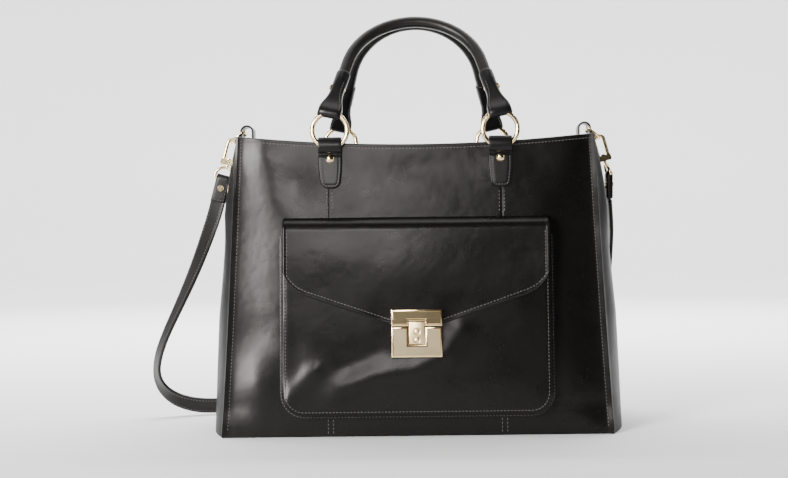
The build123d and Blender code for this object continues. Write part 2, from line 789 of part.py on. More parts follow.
for side, side_name in ((-1, "front"), (1, "back")):
    with BuildPart() as handle_cover:
        add(handle_tube(side, handle_radius, tube_start))
        add(handle_tube(side, handle_core_radius, tube_start), mode=Mode.SUBTRACT)
    save(handle_cover.part, f"handle_cover_{side_name}")

    with BuildPart() as handle_core:
        add(handle_tube(side, handle_core_radius - tube_fit, tube_start))
    save(handle_core.part, f"handle_core_{side_name}")

    for hand, hand_name in ((-1, "left"), (1, "right")):
        with BuildPart() as handle_wrap:
            with BuildSketch(leg_plane(side, hand, wrap_flare)):
                RectangleRounded(2 * wrap_flare_half, 2 * wrap_half_thickness, wrap_half_thickness - 0.3)
            with BuildSketch(leg_plane(side, hand, wrap_waist)):
                RectangleRounded(2 * wrap_waist_half, 2 * wrap_half_thickness, wrap_half_thickness - 0.3)
            collar_radius = handle_radius + wrap_collar
            with BuildSketch(leg_plane(side, hand, wrap_collar_bottom)):
                RectangleRounded(2 * collar_radius, 2 * collar_radius, collar_radius - 0.05)
            with BuildSketch(leg_plane(side, hand, wrap_collar_top)):
                RectangleRounded(2 * collar_radius, 2 * collar_radius, collar_radius - 0.05)
            loft(ruled=True)
            foot = leg_plane(side, hand, 0)
            fold_start = foot.origin - foot.x_dir * (wrap_loop_width / 2)
            with BuildSketch(Plane(origin=fold_start, x_dir=foot.z_dir, z_dir=foot.x_dir)):
                Circle(wrap_half_thickness)
                with Locations(((wrap_flare + 1) / 2, 0)):
                    Rectangle(wrap_flare + 1, 2 * wrap_half_thickness - 0.2)
            extrude(amount=wrap_loop_width)
            add(ring_torus(side, hand, ring_wire + ring_room), mode=Mode.SUBTRACT)
            with BuildSketch(leg_plane(side, hand, tube_start)):
                Circle(handle_radius + tube_fit)
            extrude(amount=wrap_collar_top - tube_start, mode=Mode.SUBTRACT)
            rivet_seat = leg_plane(side, hand, wrap_rivet)
            with BuildSketch(Plane(origin=rivet_seat.origin, x_dir=rivet_seat.z_dir, z_dir=rivet_seat.x_dir)):
                Circle(rivet_shank + rivet_fit)
            extrude(amount=2 * collar_radius, both=True, mode=Mode.SUBTRACT)
        save(handle_wrap.part, f"handle_wrap_{side_name}_{hand_name}")

    with BuildPart() as wrap_rivets:
        for hand in (-1, 1):
            seat = leg_plane(side, hand, wrap_rivet)
            head_plane = Plane(
                origin=seat.origin + seat.x_dir * (collar_radius + rivet_fit),
                x_dir=seat.z_dir,
                z_dir=seat.x_dir,
            )
            add(dome(head_plane, wrap_rivet_head, wrap_rivet_height))
            with BuildSketch(head_plane):
                Circle(rivet_shank)
            extrude(amount=-2 * collar_radius)
    save(wrap_rivets.part, f"wrap_rivets_{side_name}")

# ---------------------------------------------------------------- strap anchors, folded over the gussets' edges
sandwich = leather + fit_gap + facing_thickness


def gusset_x(z):
    """How far out the gusset's outer face is at mid depth."""
    return half_width(z) + bulge(z)


anchor_inner = gusset_x(body_height) - sandwich - anchor_gap - anchor_thickness / 2
arch_x = anchor_inner + anchor_arch
anchor_outer = arch_x + anchor_arch
bar_x = arch_x + anchor_arch - anchor_thickness / 2 - d_room - d_wire
bar_z = anchor_arch_height
outer_shift = anchor_gap + anchor_thickness / 2
inner_shift = sandwich + anchor_gap + anchor_thickness / 2


def anchor_plane(hand):
    """The XZ plane with +X outward on either side."""
    return Plane(origin=(0, 0, 0), x_dir=(hand, 0, 0), z_dir=(0, -hand, 0))


def shank_plane(hand, x, z):
    """A plane square to X, facing outward."""
    return Plane(origin=(hand * x, 0, z), x_dir=(0, 1, 0), z_dir=(hand, 0, 0))


for hand, hand_name in ((-1, "left"), (1, "right")):
    with BuildPart() as anchor:
        with BuildSketch(anchor_plane(hand)):
            with BuildLine():
                Line(
                    (gusset_x(anchor_bottom) - inner_shift, anchor_bottom),
                    (gusset_x(body_height) - inner_shift, body_height),
                )
                Line((gusset_x(body_height) - inner_shift, body_height), (anchor_inner, anchor_arch_height))
                ThreePointArc(
                    (anchor_inner, anchor_arch_height),
                    (arch_x, anchor_arch_height + anchor_arch),
                    (anchor_outer, anchor_arch_height),
                )
                Line(
                    (anchor_outer, anchor_arch_height),
                    (gusset_x(anchor_bend_height) + outer_shift, anchor_bend_height),
                )
                Line(
                    (gusset_x(anchor_bend_height) + outer_shift, anchor_bend_height),
                    (gusset_x(anchor_bottom) + outer_shift, anchor_bottom),
                )
            trace(line_width=anchor_thickness)
        extrude(amount=anchor_width / 2, both=True)
        with BuildSketch(shank_plane(hand, anchor_inner - anchor_thickness, anchor_rivet_height)):
            Circle(rivet_shank + rivet_fit)
        extrude(amount=4 * anchor_arch, mode=Mode.SUBTRACT)
    save(anchor.part, f"strap_anchor_{hand_name}")

with BuildPart() as anchor_rivets:
    for hand in (-1, 1):
        inner_face = anchor_inner - anchor_thickness / 2 - rivet_fit
        rise = (anchor_rivet_height - anchor_bend_height) / (anchor_arch_height - anchor_bend_height)
        bend_x = gusset_x(anchor_bend_height) + outer_shift
        outer_face = max(anchor_outer, bend_x + (anchor_outer - bend_x) * rise) + anchor_thickness / 2 + 0.1
        with BuildSketch(shank_plane(hand, inner_face, anchor_rivet_height)):
            Circle(rivet_shank)
        extrude(amount=outer_face - inner_face)
        with BuildSketch(shank_plane(hand, inner_face, anchor_rivet_height)):
            Circle(anchor_rivet_head)
        extrude(amount=-anchor_rivet_thickness)
        with BuildSketch(shank_plane(hand, outer_face, anchor_rivet_height)):
            Circle(anchor_rivet_head)
        extrude(amount=anchor_rivet_thickness / 2)
save(anchor_rivets.part, "anchor_rivets")

# ---------------------------------------------------------------- D rings
d_reach = d_arm + d_radius
d_tip_x = bar_x + d_reach * cosd(d_droop)
d_tip_z = bar_z - d_reach * sind(d_droop)

for hand, hand_name in ((-1, "left"), (1, "right")):
    d_plane = Plane(
        origin=(hand * bar_x, 0, bar_z),
        x_dir=(0, 1, 0),
        z_dir=Vector(0, 1, 0).cross(Vector(hand * cosd(d_droop), 0, -sind(d_droop))),
    )
    with BuildPart() as d_ring:
        with BuildLine(d_plane) as d_path:
            FilletPolyline(
                (-d_radius, d_arm),
                (-d_radius, 0),
                (d_radius, 0),
                (d_radius, d_arm),
                radius=d_corner,
            )
            ThreePointArc((d_radius, d_arm), (0, d_reach), (-d_radius, d_arm))
        start = d_path.wires()[0] @ 0
        along = d_path.wires()[0] % 0
        with BuildSketch(Plane(origin=start, z_dir=along)):
            Circle(d_wire)
        sweep(path=d_path.wires()[0])
    save(d_ring.part, f"d_ring_{hand_name}")

# ---------------------------------------------------------------- clips
bend_x = d_tip_x + (hook_radius - hook_wire - d_wire - hook_play) * sind(clip_tilt)
bend_z = d_tip_z - (hook_radius - hook_wire - d_wire - hook_play) * cosd(clip_tilt)
neck_x = bend_x + hook_height * sind(clip_tilt)
neck_z = bend_z - hook_height * cosd(clip_tilt)
clip_half = clip_thickness / 2


def clip_plane(hand, shift=0.0):
    """The clip's flat: origin at its neck, +X outboard across it and +Y up to the hook's bend."""
    x_dir = Vector(hand * cosd(clip_tilt), 0, sind(clip_tilt))
    y_dir = Vector(-hand * sind(clip_tilt), 0, cosd(clip_tilt))
    flat = Plane(origin=(hand * neck_x, 0, neck_z), x_dir=x_dir, z_dir=x_dir.cross(y_dir))
    return flat.offset(shift)


def clip_point(hand, across, up):
    """A point of the clip's flat in the world."""
    return clip_plane(hand).from_local_coords(Vector(across, up, 0))


def clip_level(hand, up):
    """A plane square to the clip's length, facing up it."""
    flat = clip_plane(hand)
    return Plane(origin=clip_point(hand, 0, up), x_dir=flat.x_dir, z_dir=flat.y_dir)


for hand, hand_name in ((-1, "left"), (1, "right")):
    with BuildPart() as clip_hook:
        with BuildSketch(clip_plane(hand)):
            with Locations((0, (clip_base_top + clip_base_bottom) / 2)):
                RectangleRounded(2 * (hook_radius + gate_knuckle), clip_base_top - clip_base_bottom, 1.2)
        extrude(amount=clip_half, both=True)
        with BuildSketch(clip_plane(hand)):
            slot_floor = gate_pivot - gate_knuckle - gate_room
            slot_inner = -hook_radius + gate_knuckle + gate_room + 0.6
            with Locations((slot_inner - hook_radius, slot_floor + hook_radius)):
                Rectangle(2 * hook_radius, 2 * hook_radius)
        extrude(amount=gate_thickness / 2 + gate_room, both=True, mode=Mode.SUBTRACT)
        with BuildLine(clip_plane(hand)) as hook_path:
            Line((hook_radius, 2), (hook_radius, hook_height))
            ThreePointArc((hook_radius, hook_height), (0, hook_height + hook_radius), (-hook_radius, hook_height))
            Line((-hook_radius, hook_height), (-hook_radius, hook_height - hook_tip))
        spine = clip_level(hand, 2)
        with BuildSketch(Plane(origin=clip_point(hand, hook_radius, 2), x_dir=spine.x_dir, z_dir=spine.z_dir)):
            Circle(hook_wire)
        sweep(path=hook_path.wires()[0])
        with BuildSketch(clip_plane(hand)):
            with Locations((-hook_radius, gate_pivot)):
                Circle(gate_pin_radius)
        extrude(amount=clip_half - 0.3, both=True)
        with BuildSketch(clip_level(hand, clip_base_bottom)):
            Circle(swivel_stem + swivel_running)
        extrude(amount=clip_base_top - clip_base_bottom, mode=Mode.SUBTRACT)
    save(clip_hook.part, f"clip_hook_{hand_name}")

    with BuildPart() as clip_gate:
        gate_top = hook_height - hook_tip - gate_room
        with BuildSketch(clip_plane(hand)):
            with Locations((-hook_radius, (gate_pivot + gate_top) / 2)):
                Rectangle(gate_width, gate_top - gate_pivot)
            with Locations((-hook_radius, gate_pivot)):
                Circle(gate_knuckle)
                Circle(gate_pin_radius + gate_running, mode=Mode.SUBTRACT)
        extrude(amount=gate_thickness / 2, both=True)
    save(clip_gate.part, f"clip_gate_{hand_name}")


def eye_plane(hand):
    """The eye's flat, origin at the neck, +Y up the clip. The left clip's swivel is turned a quarter."""
    flat = clip_plane(hand)
    if hand < 0:
        return flat
    return Plane(origin=flat.origin, x_dir=(0, 1, 0), z_dir=Vector(0, 1, 0).cross(flat.y_dir))


with BuildPart() as clip_eyes:
    for hand in (-1, 1):
        eye_side = -swivel_neck - eye_radius
        with BuildLine(eye_plane(hand)) as eye_path:
            FilletPolyline(
                (-eye_radius, eye_side),
                (-eye_radius, -eye_drop),
                (eye_radius, -eye_drop),
                (eye_radius, eye_side),
                radius=eye_corner,
            )
            ThreePointArc((eye_radius, eye_side), (0, -swivel_neck), (-eye_radius, eye_side))
        start = eye_path.wires()[0] @ 0
        along = eye_path.wires()[0] % 0
        with BuildSketch(Plane(origin=start, z_dir=along)):
            Circle(eye_wire)
        sweep(path=eye_path.wires()[0])
        with BuildSketch(clip_level(hand, -swivel_neck)):
            Circle(swivel_stem)
        extrude(amount=swivel_neck + clip_base_top + swivel_running + swivel_head_thickness)
        with BuildSketch(clip_level(hand, clip_base_top + swivel_running)):
            Circle(swivel_head)
        extrude(amount=swivel_head_thickness)
save(clip_eyes.part, "clip_eyes")

# ---------------------------------------------------------------- strap ends, folded round the eyes' bars
def strap_end_plane(hand):
    """Square to the eye's bar, origin on it, +Y back up the strap. The right end hangs, the left one is in line."""
    bar = clip_point(hand, 0, -eye_drop)
    if hand < 0:
        return Plane(origin=bar, x_dir=(0, 1, 0), z_dir=Vector(0, 1, 0).cross(clip_plane(hand).y_dir))
    return Plane(origin=bar, x_dir=(1, 0, 0), z_dir=(0, -1, 0))


def strap_rivet_plane(hand):
    """Through the middle of the strap end where its rivet is, facing out of the strap's face."""
    flat = strap_end_plane(hand)
    return Plane(
        origin=flat.from_local_coords(Vector(0, -strap_rivet_drop, 0)),
        x_dir=flat.y_dir,
        z_dir=flat.x_dir,
    )


with BuildPart() as strap_ends:
    for hand in (-1, 1):
        with BuildSketch(strap_end_plane(hand)):
            Circle(strap_end_thickness / 2)
            with Locations((0, -strap_end_length / 2)):
                Rectangle(strap_end_thickness, strap_end_length)
            Circle(eye_wire + strap_end_room, mode=Mode.SUBTRACT)
        extrude(amount=strap_end_width / 2, both=True)
        with BuildSketch(strap_rivet_plane(hand)):
            Circle(rivet_shank + rivet_fit)
        extrude(amount=strap_end_thickness, both=True, mode=Mode.SUBTRACT)
save(strap_ends.part, "strap_ends")

with BuildPart() as strap_rivets:
    for hand in (-1, 1):
        middle = strap_rivet_plane(hand)
        with BuildSketch(middle):
            Circle(rivet_shank)
        extrude(amount=strap_end_thickness / 2, both=True)
        for face in (middle, Plane(origin=middle.origin, x_dir=middle.x_dir, z_dir=-middle.z_dir)):
            with BuildSketch(face.offset(strap_end_thickness / 2)):
                Circle(strap_rivet_head)
            extrude(amount=strap_rivet_thickness)
save(strap_rivets.part, "strap_rivets")


# ---------------------------------------------------------------- strap
def strap_stretch(route, name):
    """A round bar along a stretch of the strap, each bend as gentle as its two runs allow."""
    points = [Vector(*p) for p in route]
    radii = []
    for before, here, after in zip(points, points[1:], points[2:]):
        turn = (here - before).get_angle(after - here)
        shorter = min((here - before).length, (after - here).length)
        radii.append(0.45 * shorter / tan(turn * pi / 360))
    with BuildPart() as stretch:
        with BuildLine() as path:
            FilletPolyline(*points, radius=radii)
        with BuildSketch(Plane(origin=points[0], z_dir=points[1] - points[0])):
            Circle(strap_tube / 2)
        sweep(path=path.wires()[0])
    length = path.wires()[0].length
    section = pi * strap_tube**2 / 4
    print(name, "length", round(length, 1), "volume ratio", round(stretch.part.volume / section / length, 4))
    print(name, "radii", [round(r) for r in radii])
    save(stretch.part, name)


strap_stretch(strap_long_route, "strap_long")
strap_stretch(strap_short_route, "strap_short")

# ---------------------------------------------------------------- buckle and keeper on the strap
buckle_low = Vector(*strap_long_route[-1])
buckle_high = Vector(*strap_short_route[0])
buckle_up = (buckle_high - buckle_low).normalized()
buckle_middle = (buckle_high + buckle_low) * 0.5
buckle_across = Vector(1, 0, 0).cross(buckle_up)

with BuildPart() as strap_buckle:
    buckle_plane = Plane(origin=buckle_middle, x_dir=buckle_up, z_dir=(1, 0, 0))
    with BuildSketch(buckle_plane):
        RectangleRounded((buckle_high - buckle_low).length, buckle_height, 2.5)
        for end in (-1, 1):
            with Locations((end * buckle_length / 4, 0)):
                Rectangle(buckle_length / 2 - 1.5 * buckle_bar, buckle_height - 2 * buckle_bar, mode=Mode.SUBTRACT)
    extrude(amount=buckle_bar / 2, both=True)
save(strap_buckle.part, "strap_buckle")

with BuildPart() as strap_keeper:
    keeper_start = buckle_middle + buckle_up * (keeper_place - keeper_length / 2)
    with BuildSketch(Plane(origin=keeper_start, x_dir=(1, 0, 0), z_dir=buckle_up)):
        RectangleRounded(keeper_thickness, keeper_height, 2)
        Circle(strap_tube / 2 + tube_fit, mode=Mode.SUBTRACT)
    extrude(amount=keeper_length)
save(strap_keeper.part, "strap_keeper")
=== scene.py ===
# %% [markdown]
# # A structured leather satchel
#
# The bag has a panelled body, a flapped pocket with a tongue lock, two ring-mounted handles that lean together
# and a shoulder strap. Metal comes straight from the CAD frame. Leather, cloth and thread are made here, over it.

# %% Load the frame
from math import atan2, cos, exp, floor, hypot, pi, radians, sin, sqrt

import bmesh
import bpy
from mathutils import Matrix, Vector


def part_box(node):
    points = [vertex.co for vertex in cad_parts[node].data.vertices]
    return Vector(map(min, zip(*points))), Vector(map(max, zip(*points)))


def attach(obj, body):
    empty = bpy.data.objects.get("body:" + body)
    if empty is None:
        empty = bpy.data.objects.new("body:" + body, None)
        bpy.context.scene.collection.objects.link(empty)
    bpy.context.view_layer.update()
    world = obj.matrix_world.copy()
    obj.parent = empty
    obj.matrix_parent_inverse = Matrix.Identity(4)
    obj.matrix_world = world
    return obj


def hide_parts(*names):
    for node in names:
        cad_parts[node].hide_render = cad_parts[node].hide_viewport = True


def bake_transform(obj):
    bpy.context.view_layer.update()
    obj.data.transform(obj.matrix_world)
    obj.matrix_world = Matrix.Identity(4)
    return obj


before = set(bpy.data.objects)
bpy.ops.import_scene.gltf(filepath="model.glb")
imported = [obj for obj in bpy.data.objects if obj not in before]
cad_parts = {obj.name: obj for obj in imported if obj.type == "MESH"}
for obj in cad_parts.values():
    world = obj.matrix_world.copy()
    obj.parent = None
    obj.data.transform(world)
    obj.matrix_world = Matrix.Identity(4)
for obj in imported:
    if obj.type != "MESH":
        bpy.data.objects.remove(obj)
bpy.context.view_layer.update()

# %% [markdown]
# The camera comes first, because everything else is judged through it. It stands a metre in front of the bag, at
# the height of the pocket's flap, a touch to the right. The lens looks level, and a small shift frames the bag.

# %% Camera
camera_data = bpy.data.cameras.new("camera")
camera_data.lens = 48.33
camera_data.shift_x = -0.0457
camera_data.shift_y = 0.0127
camera_data.clip_end = 20
camera = bpy.data.objects.new("camera", camera_data)
camera.location = (0.0129, -1.0539, 0.1735)
camera.rotation_euler = (pi / 2, 0.0113, 0)
bpy.context.scene.collection.objects.link(camera)
bpy.context.scene.camera = camera

# %% [markdown]
# ## Helpers
#
# An operator acts on everything that is selected, so each piece starts with nothing selected.

# %% Small helpers
MM = 0.001


def deselect_all():
    """Nothing selected and nothing active, in object mode."""
    if bpy.context.object and bpy.context.object.mode != "OBJECT":
        bpy.ops.object.mode_set(mode="OBJECT")
    bpy.ops.object.select_all(action="DESELECT")
    bpy.context.view_layer.objects.active = None


def choose(piece):
    """Only this piece is selected and active."""
    deselect_all()
    piece.select_set(True)
    bpy.context.view_layer.objects.active = piece


def named(name):
    """The object that an operator has just made, under its own name."""
    piece = bpy.context.object
    piece.name = name
    piece.data.name = name
    return piece


def edit_all(piece, operator, **settings):
    """Runs an edit operator on the whole of a piece."""
    choose(piece)
    bpy.ops.object.mode_set(mode="EDIT")
    bpy.ops.mesh.select_all(action="SELECT")
    operator(**settings)
    bpy.ops.object.mode_set(mode="OBJECT")


def thicken(piece, thickness):
    """Gives a surface a wall on its inner side."""
    choose(piece)
    wall = piece.modifiers.new("wall", "SOLIDIFY")
    wall.thickness = thickness
    wall.offset = -1
    bpy.ops.object.modifier_apply(modifier=wall.name)


def add_copy(source, name, change):
    """A new piece with a copy of the source's mesh, each of its points put through change."""
    mesh = source.data.copy()
    for v in mesh.vertices:
        v.co = change(v.co)
    piece = bpy.data.objects.new(name, mesh)
    bpy.context.scene.collection.objects.link(piece)
    return piece


def smooth(piece, angle=40):
    """Smooth shading, with edges sharper than the angle kept."""
    choose(piece)
    bpy.ops.object.shade_smooth_by_angle(angle=radians(angle))


def finish(piece, material, body, angle=40, replaces=()):
    """Gives a piece its material and the body it rides on, and hides the CAD nodes it stands for."""
    piece.data.materials.clear()
    piece.data.materials.append(material)
    smooth(piece, angle)
    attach(piece, body)
    if replaces:
        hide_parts(*replaces)


def join(pieces, name):
    """Several pieces become one object."""
    deselect_all()
    for piece in pieces:
        piece.select_set(True)
    bpy.context.view_layer.objects.active = pieces[0]
    bpy.ops.object.join()
    return named(name)


SIDES = ((-1, "front"), (1, "back"))
HANDS = ((-1, "left"), (1, "right"))


def mix(a, b, t):
    """From a to b as t runs from 0 to 1."""
    return a + (b - a) * t


def both_signs(values):
    """The values and their negatives, in order."""
    return sorted({sign * value for value in values for sign in (-1, 1)})


def ease(t):
    """0 to 1 with a gentle start and end."""
    t = min(1.0, max(0.0, t))
    return t * t * (3 - 2 * t)


def hill(x, middle, reach):
    """A rounded hump, 1 at its middle."""
    return exp(-(((x - middle) / reach) ** 2))


# %% [markdown]
# Two ways to make leather cover nearly all of it. A **sheet** is a grid whose corners are put in place by a
# formula, then given its thickness, as a cut panel is. A **skin** is a filled circle that is extruded from one
# ring of points to the next, which suits folded straps, rolled edges and tubes.

# %% Sheets and skins
def sheet(name, columns, rows, place, facing, thickness=0.0):
    """A grid with a point at place(column, row) for each pair, facing a direction, with a wall if asked."""
    deselect_all()
    bpy.ops.mesh.primitive_grid_add(x_subdivisions=len(columns) - 1, y_subdivisions=len(rows) - 1, size=2)
    piece = named(name)
    across = sorted({round(v.co.x, 5) for v in piece.data.vertices})
    along = sorted({round(v.co.y, 5) for v in piece.data.vertices})
    column_of = {x: columns[i] for i, x in enumerate(across)}
    row_of = {y: rows[j] for j, y in enumerate(along)}
    for v in piece.data.vertices:
        v.co = place(column_of[round(v.co.x, 5)], row_of[round(v.co.y, 5)])
    piece.data.update()
    total = sum((f.normal * f.area for f in piece.data.polygons), Vector())
    if total.dot(Vector(facing)) < 0:
        edit_all(piece, bpy.ops.mesh.flip_normals)
    if thickness:
        thicken(piece, thickness)
    return piece


def skin(name, rings):
    """A closed tube through rings of points, made by extruding a filled circle from ring to ring."""
    deselect_all()
    bpy.ops.mesh.primitive_circle_add(vertices=len(rings[0]), fill_type="NGON")
    piece = named(name)
    bpy.ops.object.mode_set(mode="EDIT")
    for index, ring in enumerate(rings):
        if index:
            bpy.ops.mesh.extrude_region_move()
        shape = bmesh.from_edit_mesh(piece.data)
        face = next(f for f in shape.faces if f.select)
        for loop, point in zip(face.loops, ring):
            loop.vert.co = point
        bmesh.update_edit_mesh(piece.data)
    bpy.ops.mesh.select_all(action="SELECT")
    bpy.ops.mesh.normals_make_consistent(inside=False)
    bpy.ops.object.mode_set(mode="OBJECT")
    return piece


def oval(half_a, half_b, squareness=2.0, count=16):
    """Points round an oval that gets squarer as squareness grows."""
    points = []
    for k in range(count):
        turn = 2 * pi * (k + 0.5) / count
        c, s = cos(turn), sin(turn)
        a = half_a * abs(c) ** (2 / squareness) * (1 if c > 0 else -1)
        b = half_b * abs(s) ** (2 / squareness) * (1 if s > 0 else -1)
        points.append((a, b))
    return points


def walk(points, side):
    """For each point of a path: the point, its direction, and two square directions, the first nearest to side."""
    stations = []
    for k, point in enumerate(points):
        before = points[max(k - 1, 0)]
        after = points[min(k + 1, len(points) - 1)]
        ahead = (after - before).normalized()
        wanted = side(k) if callable(side) else Vector(side)
        a = (wanted - ahead * wanted.dot(ahead)).normalized()
        stations.append((point, ahead, a, ahead.cross(a)))
    return stations


def band(name, points, side, half_width, half_thickness, squareness=5.0, count=16):
    """A flat strip along a path, its width along side. Widths may change along the path."""
    rings = []
    for k, (point, ahead, a, b) in enumerate(walk(points, side)):
        w = half_width(k) if callable(half_width) else half_width
        t = half_thickness(k) if callable(half_thickness) else half_thickness
        rings.append([point + a * p + b * q for p, q in oval(w, t, squareness, count)])
    return skin(name, rings)


def resample(points, spacing):
    """Points about a spacing apart along a path, none at its very ends."""
    lengths = [(b - a).length for a, b in zip(points, points[1:])]
    total = sum(lengths)
    count = max(1, floor(total / spacing))
    result = []
    index = 0
    passed = 0.0
    for k in range(count):
        target = total * (k + 0.5) / count
        while index < len(lengths) - 1 and passed + lengths[index] < target:
            passed += lengths[index]
            index += 1
        t = (target - passed) / lengths[index]
        result.append((points[index].lerp(points[index + 1], t), (points[index + 1] - points[index]).normalized()))
    return result


# %% [markdown]
# ## The shape of the bag
#
# The front and back lean in towards the mouth, and the side gussets bulge. These formulas say where the leather's
# outside is, so every panel, seam and stitch follows the same surface. A soft bag is never flat: its walls roll
# back towards the side seams and dip a little where the pocket pulls on them.

# %% Body sizes
base_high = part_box("base_panel")[1]
panel_low, panel_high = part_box("front_panel_left")
height = panel_high.z
half_base = -panel_low.x
half_top = 168.5 * MM
depth_base = base_high.y
depth_top = 56 * MM
top_sag = 9 * MM
seam_x = -panel_high.x
lean = atan2(depth_base - depth_top, height)
gusset_bulges = [(0, 18 * MM), (0.11, 20 * MM), (0.21, 15.5 * MM), (height, -2 * MM)]
print("height", round(height, 4), "seam", round(seam_x, 4), "half base", round(half_base, 4))


def half_width(z):
    return mix(half_base, half_top, z / height)


def half_depth(z):
    return mix(depth_base, depth_top, z / height)


def bulge(z):
    """How far a gusset stands out at mid depth, straight between the heights where it is known."""
    for (low, b0), (high, b1) in zip(gusset_bulges, gusset_bulges[1:]):
        if z <= high:
            return mix(b0, b1, (z - low) / (high - low))
    return gusset_bulges[-1][1]


def top_edge(x):
    """Height of the mouth's edge, which sags between the corners."""
    return height - top_sag * (1 - min(1.0, (x / half_top) ** 2))


def along(table, z):
    """A value read from (height, value) pairs, eased between them."""
    for (low, v0), (high, v1) in zip(table, table[1:]):
        if z <= high:
            return mix(v0, v1, ease((z - low) / (high - low)))
    return table[-1][1]


ROLL_REACH = [(0, 0.030), (0.03, 0.045), (0.10, 0.062), (0.19, 0.062), (0.235, 0.044), (0.27, 0.030), (0.3, 0.026)]
ROLL_DEPTH = [(0, 0.0012), (0.03, 0.0034), (0.10, 0.0058), (0.19, 0.0056), (0.25, 0.0036), (0.3, 0.0024)]


def give(side, x, z):
    """How far the leather stands off its flat pattern: rolled back at the side seams, with a few soft dents."""
    edge = half_width(z) - abs(x)
    roll = -along(ROLL_DEPTH, z) * ease(1 - edge / along(ROLL_REACH, z)) ** 1.15
    belly = 0.9 * MM * hill(x, 0, 0.12) * hill(z, 0.11, 0.09)
    seams = -0.3 * MM * hill(abs(x), seam_x, 0.7 * MM)
    dents = -1.2 * MM * hill(x, -0.112, 0.014) * hill(z, 0.236, 0.020)
    dents += 1.6 * MM * hill(x, -0.150, 0.013) * hill(z, 0.050, 0.022)
    dents -= 0.9 * MM * hill(x, -0.150, 0.020) * hill(z, 0.095, 0.022)
    dents += 0.8 * MM * hill(x, -0.143, 0.012) * hill(z, 0.262, 0.012)
    dents -= 1.0 * MM * hill(x, 0.136, 0.016) * hill(z, 0.21, 0.03)
    dents += 0.9 * MM * hill(x, 0.150, 0.014) * hill(z, 0.06, 0.03)
    dents -= 0.7 * MM * hill(x, 0.0, 0.03) * hill(z, 0.25, 0.012)
    pull = 0.8 * MM * hill(abs(x), 0.08, 0.022) * hill(z, 0.25, 0.02)
    foot = -0.6 * MM * hill(z, 0.0, 0.008)
    return (roll + belly + dents * (1 if side < 0 else 0.6) + pull + foot + seams) * min(1.0, (z + 0.004) / 0.03)


def on_wall(side, x, up, out=0.0):
    """A point on the front (-1) or back (+1), up the wall and out from it."""
    z = up * cos(lean)
    y = half_depth(z)
    return Vector((x, side * (y + out * cos(lean)), z + out * sin(lean)))


def on_leather(side, x, z, out=0.0):
    """The same, on the leather as it really lies."""
    return Vector((x, side * (half_depth(z) + give(side, x, z) + out), z))


# %% [markdown]
# ## Materials
#
# The leather is smooth and black with a fine grain. Its colour hardly matters: what the eye reads is the soft
# shine, so the grain is a very small bump and the roughness wanders a little. Everything is read from Object
# coordinates, which stay on the piece wherever it moves.

# %% Material helper
def new_material(name):
    """A material with its shader, ready for settings."""
    material = bpy.data.materials.new(name)
    material.use_nodes = True
    shader = material.node_tree.nodes["Principled BSDF"]
    return material, material.node_tree, shader


def add_node(tree, kind, **settings):
    node = tree.nodes.new(kind)
    for key, value in settings.items():
        setattr(node, key, value)
    return node


def noise(tree, scale, detail=2.0, roughness=0.5, stretch=(1, 1, 1)):
    """Noise in Object coordinates, its scale in cycles per metre."""
    place = add_node(tree, "ShaderNodeTexCoord")
    mapping = add_node(tree, "ShaderNodeMapping")
    mapping.inputs["Scale"].default_value = stretch
    texture = add_node(tree, "ShaderNodeTexNoise")
    texture.inputs["Scale"].default_value = scale
    texture.inputs["Detail"].default_value = detail
    texture.inputs["Roughness"].default_value = roughness
    tree.links.new(place.outputs["Object"], mapping.inputs["Vector"])
    tree.links.new(mapping.outputs["Vector"], texture.inputs["Vector"])
    return texture.outputs["Fac"]


def cells(tree, scale):
    """Leather pores: the distance to the edges of small cells."""
    place = add_node(tree, "ShaderNodeTexCoord")
    texture = add_node(tree, "ShaderNodeTexVoronoi")
    texture.inputs["Scale"].default_value = scale
    tree.links.new(place.outputs["Object"], texture.inputs["Vector"])
    return texture.outputs["Distance"]


def spread(tree, value, low, high, to_low, to_high):
    """A value's range mapped on to another."""
    node = add_node(tree, "ShaderNodeMapRange")
    node.inputs["From Min"].default_value = low
    node.inputs["From Max"].default_value = high
    node.inputs["To Min"].default_value = to_low
    node.inputs["To Max"].default_value = to_high
    tree.links.new(value, node.inputs["Value"])
    return node.outputs["Result"]


def bump(tree, height_value, strength, distance, under=None):
    """A bump, on top of another one if given."""
    node = add_node(tree, "ShaderNodeBump")
    node.inputs["Strength"].default_value = strength
    node.inputs["Distance"].default_value = distance
    tree.links.new(height_value, node.inputs["Height"])
    if under:
        tree.links.new(under, node.inputs["Normal"])
    return node.outputs["Normal"]


# %% Leather
def leather(name, colour, low, high, grain=0.35, creases=0.25):
    """Black calf leather: low and high are the ends of its roughness."""
    material, tree, shader = new_material(name)
    tint = add_node(tree, "ShaderNodeMix", data_type="RGBA")
    tint.inputs["A"].default_value = (*(0.8 * c for c in colour), 1)
    tint.inputs["B"].default_value = (*(1.3 * c for c in colour), 1)
    tree.links.new(spread(tree, noise(tree, 430, 2, 0.5), 0.3, 0.7, 0, 1), tint.inputs["Factor"])
    tree.links.new(tint.outputs["Result"], shader.inputs["Base Color"])
    shader.inputs["Specular IOR Level"].default_value = 0.5
    shader.inputs["Specular Tint"].default_value = (0.36, 0.34, 0.325, 1)
    tree.links.new(spread(tree, noise(tree, 28, 3), 0.3, 0.7, low, high), shader.inputs["Roughness"])
    pores = bump(tree, cells(tree, 900), 0.3 * grain, 0.0001)
    fine = bump(tree, noise(tree, 430, 2, 0.5), 0.3 * grain, 0.0002, pores)
    soft = bump(tree, noise(tree, 42, 2), creases, 0.0016, fine)
    tree.links.new(soft, shader.inputs["Normal"])
    shader.inputs["Coat Weight"].default_value = 0.04
    shader.inputs["Coat Roughness"].default_value = 0.18
    return material


